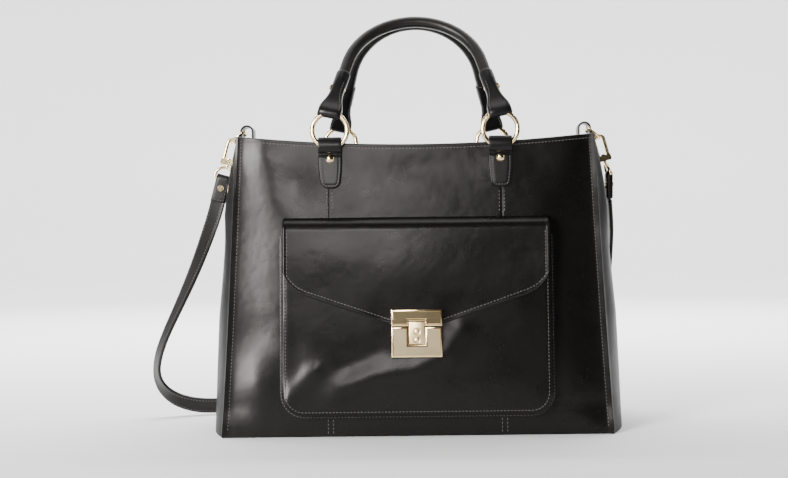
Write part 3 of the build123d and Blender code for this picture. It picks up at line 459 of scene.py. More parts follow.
body_leather = leather("body_leather", (0.0028, 0.0025, 0.0024), 0.25, 0.32, 0.3, 0.3)
trim_leather = leather("trim_leather", (0.005, 0.0048, 0.005), 0.28, 0.36, 0.3, 0.15)
strap_leather = leather("strap_leather", (0.008, 0.0075, 0.0075), 0.34, 0.44, 0.4, 0.12)
# The gussets are the body's leather, rougher, with their shine and coat cut low: painted shade, so the sides read dark
# as in a dark surrounding.
gusset_painted_shade_leather = leather("gusset_painted_shade_leather", (0.003, 0.0027, 0.0026), 0.38, 0.46, 0.3, 0.3)
gusset_painted_shade_shader = gusset_painted_shade_leather.node_tree.nodes["Principled BSDF"]
gusset_painted_shade_shader.inputs["Specular IOR Level"].default_value = 0.1
gusset_painted_shade_shader.inputs["Coat Weight"].default_value = 0.0
edge_leather = leather("edge_leather", (0.004, 0.004, 0.004), 0.26, 0.32, 0.2, 0.05)


# %% [markdown]
# The hardware is pale gold plate. Most of it is polished. The sunken panel of the lock's plate is matt and a little
# darker, and its tongue is satin, so that the round studs on it read clearly.

# %% Metal
def metal(name, colour, roughness):
    """Plated metal whose polish wanders a little."""
    material, tree, shader = new_material(name)
    shader.inputs["Base Color"].default_value = (*colour, 1)
    shader.inputs["Metallic"].default_value = 1.0
    wear = noise(tree, 160, 2)
    tree.links.new(spread(tree, wear, 0.3, 0.7, roughness * 0.95, roughness * 1.05), shader.inputs["Roughness"])
    return material


gold_polished = metal("gold_polished", (0.93, 0.72, 0.40), 0.14)
gold_brushed = metal("gold_brushed", (0.50, 0.40, 0.235), 0.3)
gold_satin = metal("gold_satin", (0.88, 0.68, 0.38), 0.34)
steel = metal("steel", (0.6, 0.6, 0.6), 0.3)


# %% [markdown]
# Thread is a waxed dark grey cord that catches a little light. The lining is a brown-grey twill: two diagonal
# waves make its ribs.

# %% Thread and cloth
def plain(name, colour, roughness, weave=0.0):
    """One colour, with a fine woven bump if asked."""
    material, tree, shader = new_material(name)
    shader.inputs["Base Color"].default_value = (*colour, 1)
    shader.inputs["Roughness"].default_value = roughness
    if weave:
        tree.links.new(bump(tree, noise(tree, 1200, 3), weave, 0.0002), shader.inputs["Normal"])
    return material


def twill(name, dark, light):
    """Cloth with diagonal ribs."""
    material, tree, shader = new_material(name)
    place = add_node(tree, "ShaderNodeTexCoord")
    ribs = add_node(tree, "ShaderNodeTexWave", wave_type="BANDS", bands_direction="DIAGONAL")
    ribs.inputs["Scale"].default_value = 260
    ribs.inputs["Distortion"].default_value = 0.6
    tree.links.new(place.outputs["Object"], ribs.inputs["Vector"])
    ramp = add_node(tree, "ShaderNodeMix", data_type="RGBA")
    ramp.inputs["A"].default_value = (*dark, 1)
    ramp.inputs["B"].default_value = (*light, 1)
    tree.links.new(ribs.outputs["Fac"], ramp.inputs["Factor"])
    tree.links.new(ramp.outputs["Result"], shader.inputs["Base Color"])
    tree.links.new(bump(tree, ribs.outputs["Fac"], 0.4, 0.0002), shader.inputs["Normal"])
    shader.inputs["Roughness"].default_value = 0.85
    return material


thread = plain("thread", (0.055, 0.05, 0.048), 0.42)
lining_cloth = twill("lining_cloth", (0.045, 0.038, 0.032), (0.085, 0.072, 0.06))
zip_cloth = plain("zip_cloth", (0.01, 0.01, 0.01), 0.8, 0.5)
core_fibre = plain("core_fibre", (0.6, 0.56, 0.48), 0.9, 0.6)
board_grey = plain("board_grey", (0.06, 0.06, 0.06), 0.8, 0.3)

# %% [markdown]
# ## The shoulder strap
#
# The strap is one long flat leather strip. It hangs from
# the left clip face on, turns on to its edge on the ground, lies behind the bag, twists flat and climbs to the
# right clip with its edge to the front. Its middle line is a NURBS spline through the same points as the CAD tube,
# a little lower where it lies flat. The spline is read back and a flat section is carried along it.

# %% Strap route
LONG_PART = [
    (-0.1979, 0, 0.2224), (-0.2013, 0, 0.2098), (-0.208, 0.002, 0.192), (-0.218, 0.007, 0.168),
    (-0.230, 0.014, 0.143), (-0.2445, 0.023, 0.116), (-0.260, 0.033, 0.088), (-0.2705, 0.042, 0.064),
    (-0.274, 0.051, 0.044), (-0.268, 0.059, 0.027), (-0.254, 0.066, 0.0155), (-0.234, 0.073, 0.0094),
    (-0.208, 0.080, 0.0086), (-0.168, 0.085, 0.0086), (-0.120, 0.088, 0.0084), (-0.070, 0.097, 0.0077),
    (-0.014, 0.092, 0.0058), (0.045, 0.103, 0.0036), (0.102, 0.094, 0.0020), (0.145, 0.095, 0.0034),
    (0.172, 0.089, 0.0130), (0.1885, 0.0805, 0.0350), (0.196, 0.07023, 0.06185), (0.196, 0.06023, 0.08585),
]
SHORT_PART = [
    (0.196, 0.05177, 0.10615), (0.196, 0.03677, 0.14215), (0.1956, 0.018, 0.175), (0.1942, 0.005, 0.201),
    (0.1917, 0, 0.2215),
]
strap_width = 16 * MM
strap_thickness = 3.2 * MM
curve = bpy.data.curves.new("strap_line", "CURVE")
curve.dimensions = "3D"
curve.resolution_u = 10
spline = curve.splines.new("NURBS")
spline.points.add(len(LONG_PART + SHORT_PART) - 1)
for knot, point in zip(spline.points, LONG_PART + SHORT_PART):
    knot.co = (*point, 1)
spline.order_u = 3
spline.use_endpoint_u = True
line = bpy.data.objects.new("strap_line", curve)
bpy.context.scene.collection.objects.link(line)
bpy.context.view_layer.update()
line_mesh = bpy.data.meshes.new_from_object(line.evaluated_get(bpy.context.evaluated_depsgraph_get()))
strap_points = [v.co.copy() for v in line_mesh.vertices]
bpy.data.objects.remove(line)
strap_length = sum((b - a).length for a, b in zip(strap_points, strap_points[1:]))
print("strap", round(strap_length, 3), "m in", len(strap_points), "points")


# %% Strap twist
def strap_side(point, ahead):
    """The direction of the strap's width. It turns from nearly face on to flat as it goes down and behind the bag."""
    if point.x > -0.2 and point.y > 0.05 or point.x > 0:
        turn = mix(radians(14), pi / 2, ease((point.x + 0.15) / 0.24))
    else:
        turn = mix(radians(22), radians(54), ease((0.235 - point.z) / 0.15))
        turn = mix(turn, radians(14), ease((point.y - 0.046) / 0.028))
    face_on = Vector((0, -1, 0)).cross(ahead).normalized()
    away = (-face_on).cross(ahead).normalized()
    return (face_on * cos(turn) + away * sin(turn)).normalized()


def strap_way(k):
    before = strap_points[max(k - 1, 0)]
    after = strap_points[min(k + 1, len(strap_points) - 1)]
    return strap_side(strap_points[k], (after - before).normalized())


strap = band("shoulder_strap", strap_points, strap_way, strap_width / 2, strap_thickness / 2, 7, 20)
print("strap faces", len(strap.data.polygons))

# %% [markdown]
# ## One stitch
#
# Thread shows as a row of short, slightly raised dashes that dive into the leather at both ends. One dash is made
# by extruding a hexagon along a low arch. It is copied along every sewn line, so it has only a few dozen faces.

# %% Stitch
stitch_pitch = 3.2 * MM


def dash(length, lift, radius):
    """A thread dash along +X, with +Z away from the leather."""
    rings = []
    for t in (-1.0, -0.8, -0.35, 0.35, 0.8, 1.0):
        end = abs(t) == 1
        middle = Vector((t * length / 2, 0, lift - 1.15 * radius * abs(t) ** 4 - (0.9 * radius if end else 0)))
        r = radius * (0.62 if end else 1.0)
        rings.append([middle + Vector((0, r * cos(a), r * 0.75 * sin(a))) for a in (2 * pi * k / 6 for k in range(6))])
    return skin("stitch", rings)


stitch = dash(0.74 * stitch_pitch, 0.12 * MM, 0.36 * MM)
smooth(stitch, 70)
print("stitch faces", len(stitch.data.polygons))


def sew(name, stations, material=None, body="bag", scale=1.0):
    """Copies of the stitch at each (point, direction, away from the leather), joined into one piece."""
    copies = []
    for point, along, away in stations:
        x = along.normalized()
        z = (away - x * away.dot(x)).normalized()
        y = z.cross(x)
        copies.append(add_copy(stitch, name, lambda co: point + (x * co.x + y * co.y + z * co.z) * scale))
    row = join(copies, name)
    row.data.materials.clear()
    row.data.materials.append(material or thread)
    if body:
        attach(row, body)
    return row


def stations_on(points, away, pitch=None):
    """Stitch places along a path; away is a function of the point."""
    return [(p, d, away(p)) for p, d in resample(points, pitch or stitch_pitch)]


# %% Strap stitches
strap_rows = []
for hand in (-1, 1):
    for face in (-1, 1):
        row = []
        for point, ahead, a, b in walk(strap_points, strap_way):
            row.append((point + a * hand * (strap_width / 2 - 2.3 * MM) + b * face * strap_thickness / 2, b * face))
        points = [p for p, _ in row]
        aways = [w for _, w in row]
        for p, d in resample(points, stitch_pitch):
            near = min(range(len(points)), key=lambda k: (points[k] - p).length_squared)
            strap_rows.append((p, d, aways[near]))
strap_stitches = sew("strap_stitches", strap_rows, thread, None)
strap.data.materials.append(strap_leather)
smooth(strap, 35)
strap = join([strap, strap_stitches], "shoulder_strap")
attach(strap, "bag")
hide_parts("strap_long", "strap_short")
print("strap with", len(strap_rows), "stitches")

# %% [markdown]
# ## The body
#
# The leather goes round the bag as one loft: front, right gusset, back, left gusset. One grid is bent to that
# shape and closed at its last corner, so the walls meet without gaps and the folds run on across the seams. A
# narrow ridge stands along each side seam, where the cut edges are sewn together, and a groove marks each upright
# seam in the front and back.

# %% Body surface
def across(share, z):
    """X for a share of the width: the seam is always at a half, and the edge at one."""
    part = abs(share)
    x = seam_x * part / 0.5 if part <= 0.5 else mix(seam_x, half_width(z), (part - 0.5) / 0.5)
    return x if share >= 0 else -x


def gusset_out(q, z):
    """How far a gusset stands out; q runs from -1 to 1 across it."""
    soft = bulge(z) * (1 - q * q)
    high = ease((z - 0.17) / 0.09)
    soft += high * (6.5 * MM * hill(abs(q), 0.52, 0.24) - 1.0 * MM * hill(q, 0, 0.2))
    low = hill(z, 0.07, 0.05) * 1.2 * MM * hill(q, 0.3, 0.25) - hill(z, 0.14, 0.05) * 1.0 * MM * hill(q, -0.35, 0.2)
    return soft + low


def around(turn, share, inset=0.0):
    """A point on the body: turn is 0 to 4 round the four walls, share is 0 at the base and 1 at the mouth."""
    wall = int(turn) % 4
    t = turn - int(turn)
    if wall in (0, 2):
        side = -1 if wall == 0 else 1
        part = mix(-1, 1, t) * -side
        z = share * top_edge(across(part, height))
        x = across(part, z)
        edge = 1 - abs(part)
        point = on_leather(side, x, z, 1.0 * MM * hill(edge, 0, 0.016) - inset)
        point.x -= inset * ease((abs(part) - 0.9) / 0.1) * (1 if x > 0 else -1)
        return point
    hand = 1 if wall == 1 else -1
    q = mix(-1, 1, t) * hand
    z = share * height
    side = -1 if q < 0 else 1
    corner = half_depth(z) + give(side, hand * half_width(z), z) - inset
    out = half_width(z) + gusset_out(q, z) + 0.8 * MM * hill(1 - abs(q), 0, 0.03) - inset
    edge = 1.0 * MM * hill(1 - abs(q), 0, 0.03)
    return Vector((hand * out, (corner + edge) * q, z))


PANEL_PARTS = [0, 0.05, 0.1, 0.15, 0.2, 0.25, 0.3, 0.35, 0.39, 0.43, 0.46, 0.48, 0.49, 0.4945, 0.5, 0.5055, 0.51,
               0.52, 0.54, 0.57, 0.61, 0.65, 0.69, 0.73, 0.77, 0.81, 0.85, 0.88, 0.91, 0.935, 0.955, 0.97, 0.98,
               0.99]
GUSSET_PARTS = [0, 0.08, 0.17, 0.26, 0.35, 0.44, 0.53, 0.62, 0.7, 0.78, 0.85, 0.9, 0.94, 0.97]
panel_turns = sorted({(1 + s * part) / 2 for part in PANEL_PARTS for s in (-1, 1)} | {0.0})
gusset_turns = sorted({(1 + s * part) / 2 for part in GUSSET_PARTS for s in (-1, 1)} | {0.0})
body_turns = []
for wall in range(4):
    body_turns += [wall + t for t in (panel_turns if wall % 2 == 0 else gusset_turns)]
body_turns.append(3.9999)
rows = [0, 0.004, 0.01, 0.02] + [k / 70 for k in range(2, 69)] + [0.983, 0.99, 0.996, 1.0]


def close_ring(piece):
    """Merges the first and last columns of a sheet that goes all the way round."""
    edit_all(piece, bpy.ops.mesh.remove_doubles, threshold=0.08 * MM)


def ring_wall(name, turns, shares, place, thickness):
    """A closed wall round the body, its outer face outward."""
    piece = sheet(name, list(range(len(turns))), shares, lambda k, s: place(turns[k], s), (0, -1, 0))
    close_ring(piece)
    furthest = min(piece.data.polygons, key=lambda f: f.center.y)
    if furthest.normal.y > 0:
        edit_all(piece, bpy.ops.mesh.flip_normals)
    thicken(piece, thickness)
    return piece


# %% Body shell
shell = ring_wall("body_shell", body_turns, rows, around, 2.0 * MM)
finish(shell, body_leather, "bag", 40,
       ["front_panel_left", "front_panel_center", "front_panel_right", "back_panel_left", "back_panel_center",
        "back_panel_right", "gusset_left", "gusset_right"])
# The side faces take the gusset leather, whose cut shine is painted shade.
shell.data.materials.append(gusset_painted_shade_leather)
for face in shell.data.polygons:
    if abs(face.normal.x) > 0.75:
        face.material_index = 1
print("body shell", len(shell.data.polygons), "faces")

# %% [markdown]
# The mouth's edge is turned: the wall's leather wraps over the facing inside it and is stitched down. A rounded
# bead, as wide as both layers together, follows the edge all round.

# %% Mouth edge
layers = 3.9 * MM
mouth_path = [around(t, 1.0) for t in body_turns[:-1]]


def bead(name, outer, inner_shift, height_out, drop):
    """A bead over the wall's edge: outer points, the shift to its inner side, its height and how far it comes down."""
    columns = list(range(len(outer))) + [len(outer)]
    section = [(0.0, -drop), (-0.02, -0.3), (0.0, 0.15), (0.12, 0.62), (0.32, 0.93), (0.5, 1.0), (0.68, 0.93),
               (0.88, 0.62), (1.0, 0.15), (1.02, -0.3), (1.0, -drop)]

    def place(k, j):
        point = outer[k % len(outer)]
        away, climb = section[j]
        inward = inner_shift(k % len(outer))
        return point + inward * away + Vector((0, 0, climb * height_out if climb > -1 else climb * MM))

    piece = sheet(name, columns, list(range(len(section))), place, (0, 0, 1))
    close_ring(piece)
    return piece


def mouth_inward(k):
    before = mouth_path[k - 1]
    after = mouth_path[(k + 1) % len(mouth_path)]
    ahead = (after - before).normalized()
    return Vector((-ahead.y, ahead.x, 0)).normalized() * (layers + 0.3 * MM)


edge_start = [p - mouth_inward(k).normalized() * 0.15 * MM for k, p in enumerate(mouth_path)]
mouth_bead = bead("mouth_edge", edge_start, mouth_inward, 0.9 * MM, 2.2)
edit_all(mouth_bead, bpy.ops.mesh.normals_make_consistent, inside=False)
finish(mouth_bead, edge_leather, "bag", 60)
print("mouth edge", len(mouth_bead.data.polygons), "faces")

# %% [markdown]
# The base is a stiff leather panel that the walls are turned under. Its underside is flat, and its lower edge rounds a
# little.

# %% Base
foot = [around(t, 0.0) for t in body_turns[:-1]]
base_rings = []
for shrink, z in ((0.975, 0.0), (0.99, 0.0), (0.998, 0.5 * MM), (0.998, 2.0 * MM), (0.98, 2.4 * MM)):
    base_rings.append([Vector((p.x * shrink, p.y * shrink, z)) for p in foot])
base = skin("base", base_rings)
finish(base, trim_leather, "bag", 50, ["base_panel"])

# %% [markdown]
# ## Inside
#
# A leather facing runs round inside the mouth, and a twill lining hangs below it. Both are the body's own surface,
# brought inward, so they follow its folds.

# %% Facing and lining
facing_share = (height - 34 * MM) / height
facing = ring_wall("facing", body_turns, [mix(facing_share, 0.999, k / 8) for k in range(9)],
                   lambda t, s: around(t, s, 2.25 * MM), 1.6 * MM)
finish(facing, trim_leather, "bag", 40, ["mouth_facing"])
lining = ring_wall("lining_bag", body_turns, [mix(0.015, facing_share + 0.004, k / 24) for k in range(25)],
                   lambda t, s: around(t, s, 2.3 * MM + 0.8 * MM * sin(9 * t + 14 * s) ** 2), 0.8 * MM)
finish(lining, lining_cloth, "bag", 40, ["lining"])
floor_rings = []
for shrink, z in ((0.9, 4.0 * MM), (0.975, 4.0 * MM), (0.975, 5.2 * MM), (0.9, 5.2 * MM)):
    floor_rings.append([Vector((p.x * shrink, p.y * shrink, z)) for p in foot])
lining_floor = skin("lining_floor", floor_rings)
finish(lining_floor, lining_cloth, "bag", 50)
print("lining", len(lining.data.polygons), "faces")

# %% [markdown]
# ## The pocket
#
# The pocket's front is one panel over a stiff little gusset. It is a grid whose columns draw together round the two
# lower corners. Its face crowns a little in the middle, rolls down at the edge, and has the soft dents that a
# padded pocket gets where the lock pulls on it.

# %% Pocket front
half_pocket = 125 * MM
pocket_foot = 20 * MM
pocket_head = 187 * MM
pocket_round = 20 * MM
pocket_out = 12 * MM
pocket_wall = 1.8 * MM


def pocket_half(up):
    """Half the pocket's width at a height, with the lower corners rounded."""
    short = pocket_foot + pocket_round - up
    if short <= 0:
        return half_pocket
    return half_pocket - pocket_round + sqrt(max(0.0, pocket_round**2 - short**2))


def fold(x, up, start, end, reach):
    """A soft fold along a line: 1 on the line, fading away from it."""
    run = (end[0] - start[0], end[1] - start[1])
    size = run[0] ** 2 + run[1] ** 2
    t = min(1.0, max(0.0, ((x - start[0]) * run[0] + (up - start[1]) * run[1]) / size))
    return hill(hypot(x - start[0] - t * run[0], up - start[1] - t * run[1]), 0, reach)


def crease(x, up, points, reach):
    """The nearest of several folds that run on from one another."""
    return max(fold(x, up, a, b, reach) for a, b in zip(points, points[1:]))


def pocket_relief(x, up):
    """How far the pocket's face stands off its flat pattern."""
    side = pocket_half(up) - abs(x)
    edge = min(side, up - pocket_foot + 0.3 * MM)
    crown = 1.0 * MM * ease(edge / (34 * MM)) - 1.1 * MM * (1 - ease(edge / (2.6 * MM)))
    sewn = -0.35 * MM * hill(edge, 3.4 * MM, 0.9 * MM)
    dents = -1.2 * MM * hill(x, -0.112, 0.015) * hill(up, 0.070, 0.026)
    dents += 1.5 * MM * crease(x, up, [(-0.122, 0.030), (-0.112, 0.046), (-0.096, 0.062)], 0.0075)
    sweep = [(-0.074, 0.042), (-0.038, 0.056), (0.0, 0.062), (0.026, 0.076), (0.040, 0.098)]
    dents += 1.7 * MM * crease(x, up, sweep, 0.010)
    dents -= 1.2 * MM * crease(x, up, [(-0.066, 0.068), (-0.034, 0.082)], 0.010)
    dents -= 0.7 * MM * hill(x, 0.1, 0.02) * hill(up, 0.06, 0.03)
    return crown + sewn + dents


share_steps = [0, 0.1, 0.2, 0.3, 0.4, 0.5, 0.6, 0.7, 0.78, 0.84, 0.88, 0.91, 0.935, 0.955, 0.965, 0.975, 0.985,
               0.993, 1.0]
pocket_columns = sorted(set(both_signs(share_steps)) | {k / 40 for k in range(-30, 31)})
pocket_ups = [pocket_foot + d * MM for d in (0, 0.4, 0.9, 1.5, 2.2, 3.0, 4.0, 5.2, 6.6, 8.2, 10, 12, 14.5, 17, 20)]
pocket_ups += [mix(0.0425, pocket_head, k / 46) for k in range(47)]


def pocket_place(part, up):
    x = part * pocket_half(up)
    return on_wall(-1, x, up, pocket_out + pocket_relief(x, up))


pocket = sheet("pocket_face", pocket_columns, pocket_ups, pocket_place, (0, -1, 0), pocket_wall)
finish(pocket, body_leather, "bag", 45, ["pocket_front"])
print("pocket front", len(pocket.data.polygons), "faces")

# %% [markdown]
# Behind the pocket's edge a strip of leather makes its side wall. It is sewn to the pocket at one edge and turns
# out into a narrow foot that is sewn to the bag. It is a single section carried round a U-shaped path.

# %% Pocket gusset
def pocket_u(grow, step=4.0 * MM):
    """The pocket's U-shaped outline, grown outward, as (x, up) pairs from top left to top right."""
    w = half_pocket + grow
    low = pocket_foot - grow
    r = pocket_round + grow
    points = []
    count = int((pocket_head - low - r) / step)
    points += [(-w, mix(pocket_head, low + r, k / count)) for k in range(count)]
    points += [(-w + r - r * cos(a), low + r - r * sin(a)) for a in (k * pi / 2 / 14 for k in range(15))]
    count = int((2 * w - 2 * r) / step)
    points += [(mix(-w + r, w - r, k / count), low) for k in range(1, count)]
    points += [(w - r + r * sin(a), low + r - r * cos(a)) for a in (k * pi / 2 / 14 for k in range(15))]
    count = int((pocket_head - low - r) / step)
    points += [(w, mix(low + r, pocket_head, k / count)) for k in range(1, count + 1)]
    return points


u_line = pocket_u(0.0)
wall_section = [(-2.6, 10.3), (-1.6, 10.2), (-1.2, 8.5), (-1.3, 5.0), (-1.0, 2.2), (0.0, 1.1), (1.6, 0.95),
                (2.8, 0.9), (3.4, 0.6), (3.6, 0.1)]


def u_outward(k):
    before = u_line[max(k - 1, 0)]
    after = u_line[min(k + 1, len(u_line) - 1)]
    dx, du = after[0] - before[0], after[1] - before[1]
    size = hypot(dx, du)
    return du / size, -dx / size


def u_place(k, j):
    x, up = u_line[k]
    away, out = wall_section[j]
    ox, ou = u_outward(k)
    return on_wall(-1, x + ox * away * MM, up + ou * away * MM, out * MM)


pocket_side = sheet("pocket_side", list(range(len(u_line))), list(range(len(wall_section))), u_place, (0, -1, 0),
                    1.0 * MM)
finish(pocket_side, trim_leather, "bag", 40, ["pocket_gusset"])
print("pocket gusset", len(pocket_side.data.polygons), "faces")

# %% [markdown]
# ## The flap
#
# The flap starts on the bag, folds over the pocket's mouth and narrows to the lock. Its columns run from the fold
# down to the lower edge, which is straight at the sides, rounded at the corners and slanted to the middle. A
# turned edge makes its border a little thicker than its face, so the border catches a thin bright line.

# %% Flap shape
half_flap = 124 * MM
flap_out = 13.4 * MM
flap_axis_up = 191.2 * MM
flap_axis_out = 2.0 * MM
flap_mean = flap_out - flap_axis_out
flap_tip = 103 * MM
flap_side_end = 138 * MM
flap_tip_half = 22 * MM


def flap_edge(x):
    """The height of the flap's lower edge at a place across it."""
    part = abs(x)
    slope = (flap_side_end - flap_tip) / (half_flap - flap_tip_half)
    straight = flap_tip + max(0.0, part - flap_tip_half) * slope
    blend_width = 3 * MM
    near = ease(1 - abs(part - flap_tip_half) / blend_width) if abs(part - flap_tip_half) < blend_width else 0
    low = straight + 0.25 * MM * near
    r = 20 * MM
    if part > half_flap - r:
        reach = part - (half_flap - r)
        low += r - sqrt(max(0.0, r * r - reach * reach)) * 0.98
    return low


def flap_profile(x, s, low):
    """Up and out for a share of the way down the flap, and the direction away from its face."""
    start = 3.0 * MM
    arc = flap_mean * pi / 2
    hang = flap_axis_up - low
    run = s * (start + arc + hang)
    if run < start:
        return flap_axis_up + flap_mean + 0.4 * MM, flap_axis_out - (start - run), (1.0, 0.0)
    run -= start
    if run < arc:
        turn = run / flap_mean
        return flap_axis_up + flap_mean * cos(turn), flap_axis_out + flap_mean * sin(turn), (cos(turn), sin(turn))
    return flap_axis_up - (run - arc), flap_out, (0.0, 1.0)


def flap_relief(x, up, low):
    """How far the flap's face stands off its flat pattern."""
    side = half_flap - abs(x)
    edge = min(side, (up - low) * 0.95)
    turned = 0.45 * MM * ease((3.2 * MM - edge) / (1.0 * MM)) - 0.8 * MM * (1 - ease(edge / (1.3 * MM)))
    belly = 1.3 * MM * hill(x, -0.01, 0.055) * hill(up, 0.155, 0.035)
    pull = -0.9 * MM * (hill(x, -0.034, 0.010) + hill(x, 0.034, 0.010)) * hill(up, 0.112, 0.013)
    ripple = 0.5 * MM * hill(x, -0.085, 0.03) * hill(up, 0.165, 0.02)
    ripple -= 0.6 * MM * hill(x, 0.09, 0.03) * hill(up, 0.17, 0.02)
    return turned + belly + pull + ripple


flap_shares = [0, 0.02, 0.045] + [0.07 + 0.012 * k for k in range(13)] + [mix(0.24, 0.94, k / 40) for k in range(41)]
flap_shares += [0.948, 0.955, 0.962, 0.968, 0.974, 0.98, 0.985, 0.99, 0.994, 0.997, 1.0]
flap_columns = sorted({s * v * MM for s in (-1, 1) for v in
                       [0, 3, 6, 9, 12, 15, 18, 20, 21, 22, 23, 24, 26, 29, 33, 37, 41, 45, 49, 53, 57, 61, 65, 69, 73,
                        77, 81, 85, 89, 93, 97, 100, 103, 105.5, 108, 110, 112, 113.5, 115, 116.5, 117.8, 119, 120,
                        120.8, 121.6, 122.3, 122.9, 123.4, 123.8, 124]})


def flap_place(x, s):
    low = flap_edge(x)
    up, out, away = flap_profile(x, s, low)
    lift = flap_relief(x, up, low) * ease((out - flap_axis_out) / flap_mean)
    outer = lift + 1.05 * MM
    return on_wall(-1, x, up + away[0] * outer, out + away[1] * outer)


flap = sheet("flap", flap_columns, flap_shares, flap_place, (0, -1, 0), 2.1 * MM)
finish(flap, body_leather, "flap", 45, ["pocket_flap"])
print("flap", len(flap.data.polygons), "faces")

# %% [markdown]
# ## Sewn lines on the front, the back and the pocket
#
# A saddler keeps every row the same distance from its edge. So each row is the edge's own line, brought in by that
# distance and lifted on to the leather.

# %% Body stitches
def wall_row(side, pairs):
    """Stitches along (x, z) pairs on the front or back leather."""
    points = [on_leather(side, x, z, 0.0) for x, z in pairs]
    away = Vector((0, side, 0.05))
    return stations_on(points, lambda p: away)


body_rows = []
for side in (-1, 1):
    mouth = [k / 60 * 0.1665 for k in range(-60, 61)]
    body_rows += wall_row(side, [(x, top_edge(x) - 3.4 * MM) for x in mouth])
    heights = [mix(0.006, 0.276, k / 60) for k in range(61)]
    for hand in (-1, 1):
        body_rows += wall_row(side, [(hand * (half_width(z) - 4.2 * MM), z) for z in heights])
        for offset in (-2.4 * MM, 2.4 * MM):
            low = [mix(0.002, 0.0165 if side < 0 else 0.229, k / 40) for k in range(41)]
            body_rows += wall_row(side, [(hand * seam_x + offset, z) for z in low])
            if side < 0:
                high = [mix(0.208, 0.229, k / 12) for k in range(13)]
                body_rows += wall_row(side, [(hand * seam_x + offset, z) for z in high])
body_stitches = sew("body_stitches", body_rows)
print("body stitches", len(body_rows))

# %% Pocket stitches
pocket_rows = []
front_away = Vector((0, -1, 0.05))
edge_points = []
for x, up in pocket_u(-3.4 * MM):
    edge_points.append(on_wall(-1, x, up, pocket_out + pocket_relief(x, up)))
pocket_rows += stations_on(edge_points, lambda p: front_away)
foot_points = [on_wall(-1, x, up, 0.95 * MM) for x, up in pocket_u(2.2 * MM)]
pocket_rows += stations_on(foot_points, lambda p: front_away)
pocket_stitches = sew("pocket_stitches", pocket_rows)
print("pocket stitches", len(pocket_rows))

# %% Flap stitches
flap_rows = []


def flap_face_point(x, up):
    low = flap_edge(x)
    return on_wall(-1, x, up, flap_out + 1.05 * MM + flap_relief(x, up, low))


inset = 4.2 * MM
left_side = [(-half_flap + inset, mix(0.190, 0.158, k / 10)) for k in range(11)]
low_line = []
for k in range(81):
    x = mix(-half_flap + inset, -flap_tip_half - 2.5 * MM, k / 80)
    lift = inset * 1.06
    low_line.append((x, flap_edge(x) + lift))
for hand in (1, -1):
    points = [flap_face_point(hand * x, up) for x, up in left_side + low_line]
    flap_rows += stations_on(points, lambda p: front_away)
flap_stitches = sew("flap_stitches", flap_rows, body="flap")
print("flap stitches", len(flap_rows))

# %% [markdown]
# ## Handle tabs
#
# Each tab is two layers of leather, rounded at its tip, sewn round its edge and riveted. Its upper end is folded
# into a loop that holds the ring, and it is pinched where the loop starts. The tab is a strip carried along its
# own side view, so the plate, the pinch and the loop are one piece.

# %% Tabs
handle_x = 80 * MM
tab_half = 11 * MM
tab_tip = 231.5 * MM
loop_low = 264.5 * MM
loop_high = 279.6 * MM


def tab_half_at(up):
    """Half the tab's width: narrower below the shoulder, then round to the tip."""
    if up > tab_tip + 18.5 * MM:
        return tab_half
    shoulder = tab_tip + 7.5 * MM
    if up > shoulder:
        return mix(tab_half - 1.2 * MM, tab_half, (up - shoulder) / (11 * MM))
    drop = (shoulder - up) / (7.5 * MM)
    return (tab_half - 1.2 * MM) * sqrt(max(0.0, 1 - drop**2.3))


def tab_plate(side, hand, name):
    """The sewn part of a tab."""
    columns = both_signs((0, 0.2, 0.4, 0.56, 0.68, 0.78, 0.86, 0.92, 0.965, 1.0))
    ups = [tab_tip + d * MM for d in (0.02, 0.3, 0.8, 1.6, 2.6, 3.8, 5.2, 7.0, 9.5, 12.5, 16, 19.5, 22, 24, 26, 28, 30,
                                      31.5, 32.6, 33.4, 34.2)]

    def place(part, up):
        half = tab_half_at(up)
        x = part * half
        edge = min(half - abs(x), up - tab_tip)
        rim = 1.0 * MM * (1 - ease(edge / (1.2 * MM)))
        sewn = 0.3 * MM * hill(edge, 2.4 * MM, 0.8 * MM)
        pinch = 1.1 * MM * hill(up, loop_low - 0.6 * MM, 1.3 * MM)
        return on_wall(side, hand * handle_x + x, up, 3.6 * MM - rim - sewn - pinch)

    return sheet(name, columns, ups, place, (0, side, 0), 3.3 * MM)


def tab_loop(side, hand, name):
    """The folded loop, a strip round the ring's wire."""
    middle = (loop_low + loop_high) / 2
    half_high = (loop_high - loop_low) / 2
    path = []
    for k in range(25):
        turn = mix(-pi * 0.56, pi * 0.56, k / 24)
        out = 4.9 * MM + 3.55 * MM * cos(turn) if abs(turn) < pi / 2 else 4.9 * MM + 7.5 * MM * cos(turn)
        path.append(on_wall(side, hand * handle_x, middle + (half_high - 0.95 * MM) * sin(turn), out))
    return band(name, path, (1, 0, 0), tab_half, 0.95 * MM, 6, 18)


tab_rows = []
for side, side_name in SIDES:
    for hand, hand_name in HANDS:
        name = f"handle_tab_{side_name}_{hand_name}"
        plate = tab_plate(side, hand, "tab_plate")
        loop = tab_loop(side, hand, "tab_loop")
        tab = join([plate, loop], f"tab_{side_name}_{hand_name}")
        tab.data.materials.append(trim_leather)
        smooth(tab, 50)
        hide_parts(name)
        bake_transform(tab)
        outline = []
        for k in range(60):
            up = mix(loop_low - 3.5 * MM, tab_tip + 2.4 * MM, ease(k / 59) ** 0.6)
            outline.append((-(tab_half_at(up) - 2.3 * MM), up))
        outline = [p for p in outline if p[0] < -0.4 * MM]
        outline += [(-x, up) for x, up in reversed(outline)]
        points = [on_wall(side, hand * handle_x + x, up, 3.25 * MM) for x, up in outline]
        tab_rows += stations_on(points, lambda p: Vector((0, side, 0.05)), 2.7 * MM)
tab_stitches = sew("tab_stitches", tab_rows, scale=0.85)
print("tab stitches", len(tab_rows))

# %% [markdown]
# ## Handles
#
# A handle is leather rolled round a fibre core, with its seam on the inside of the arch. Front and back handles
# lean together until they nearly touch. The tube is a round section carried up one leg, over the arch and down the
# other. A wrap at each end narrows from the ring to a waist and then closes round the tube.

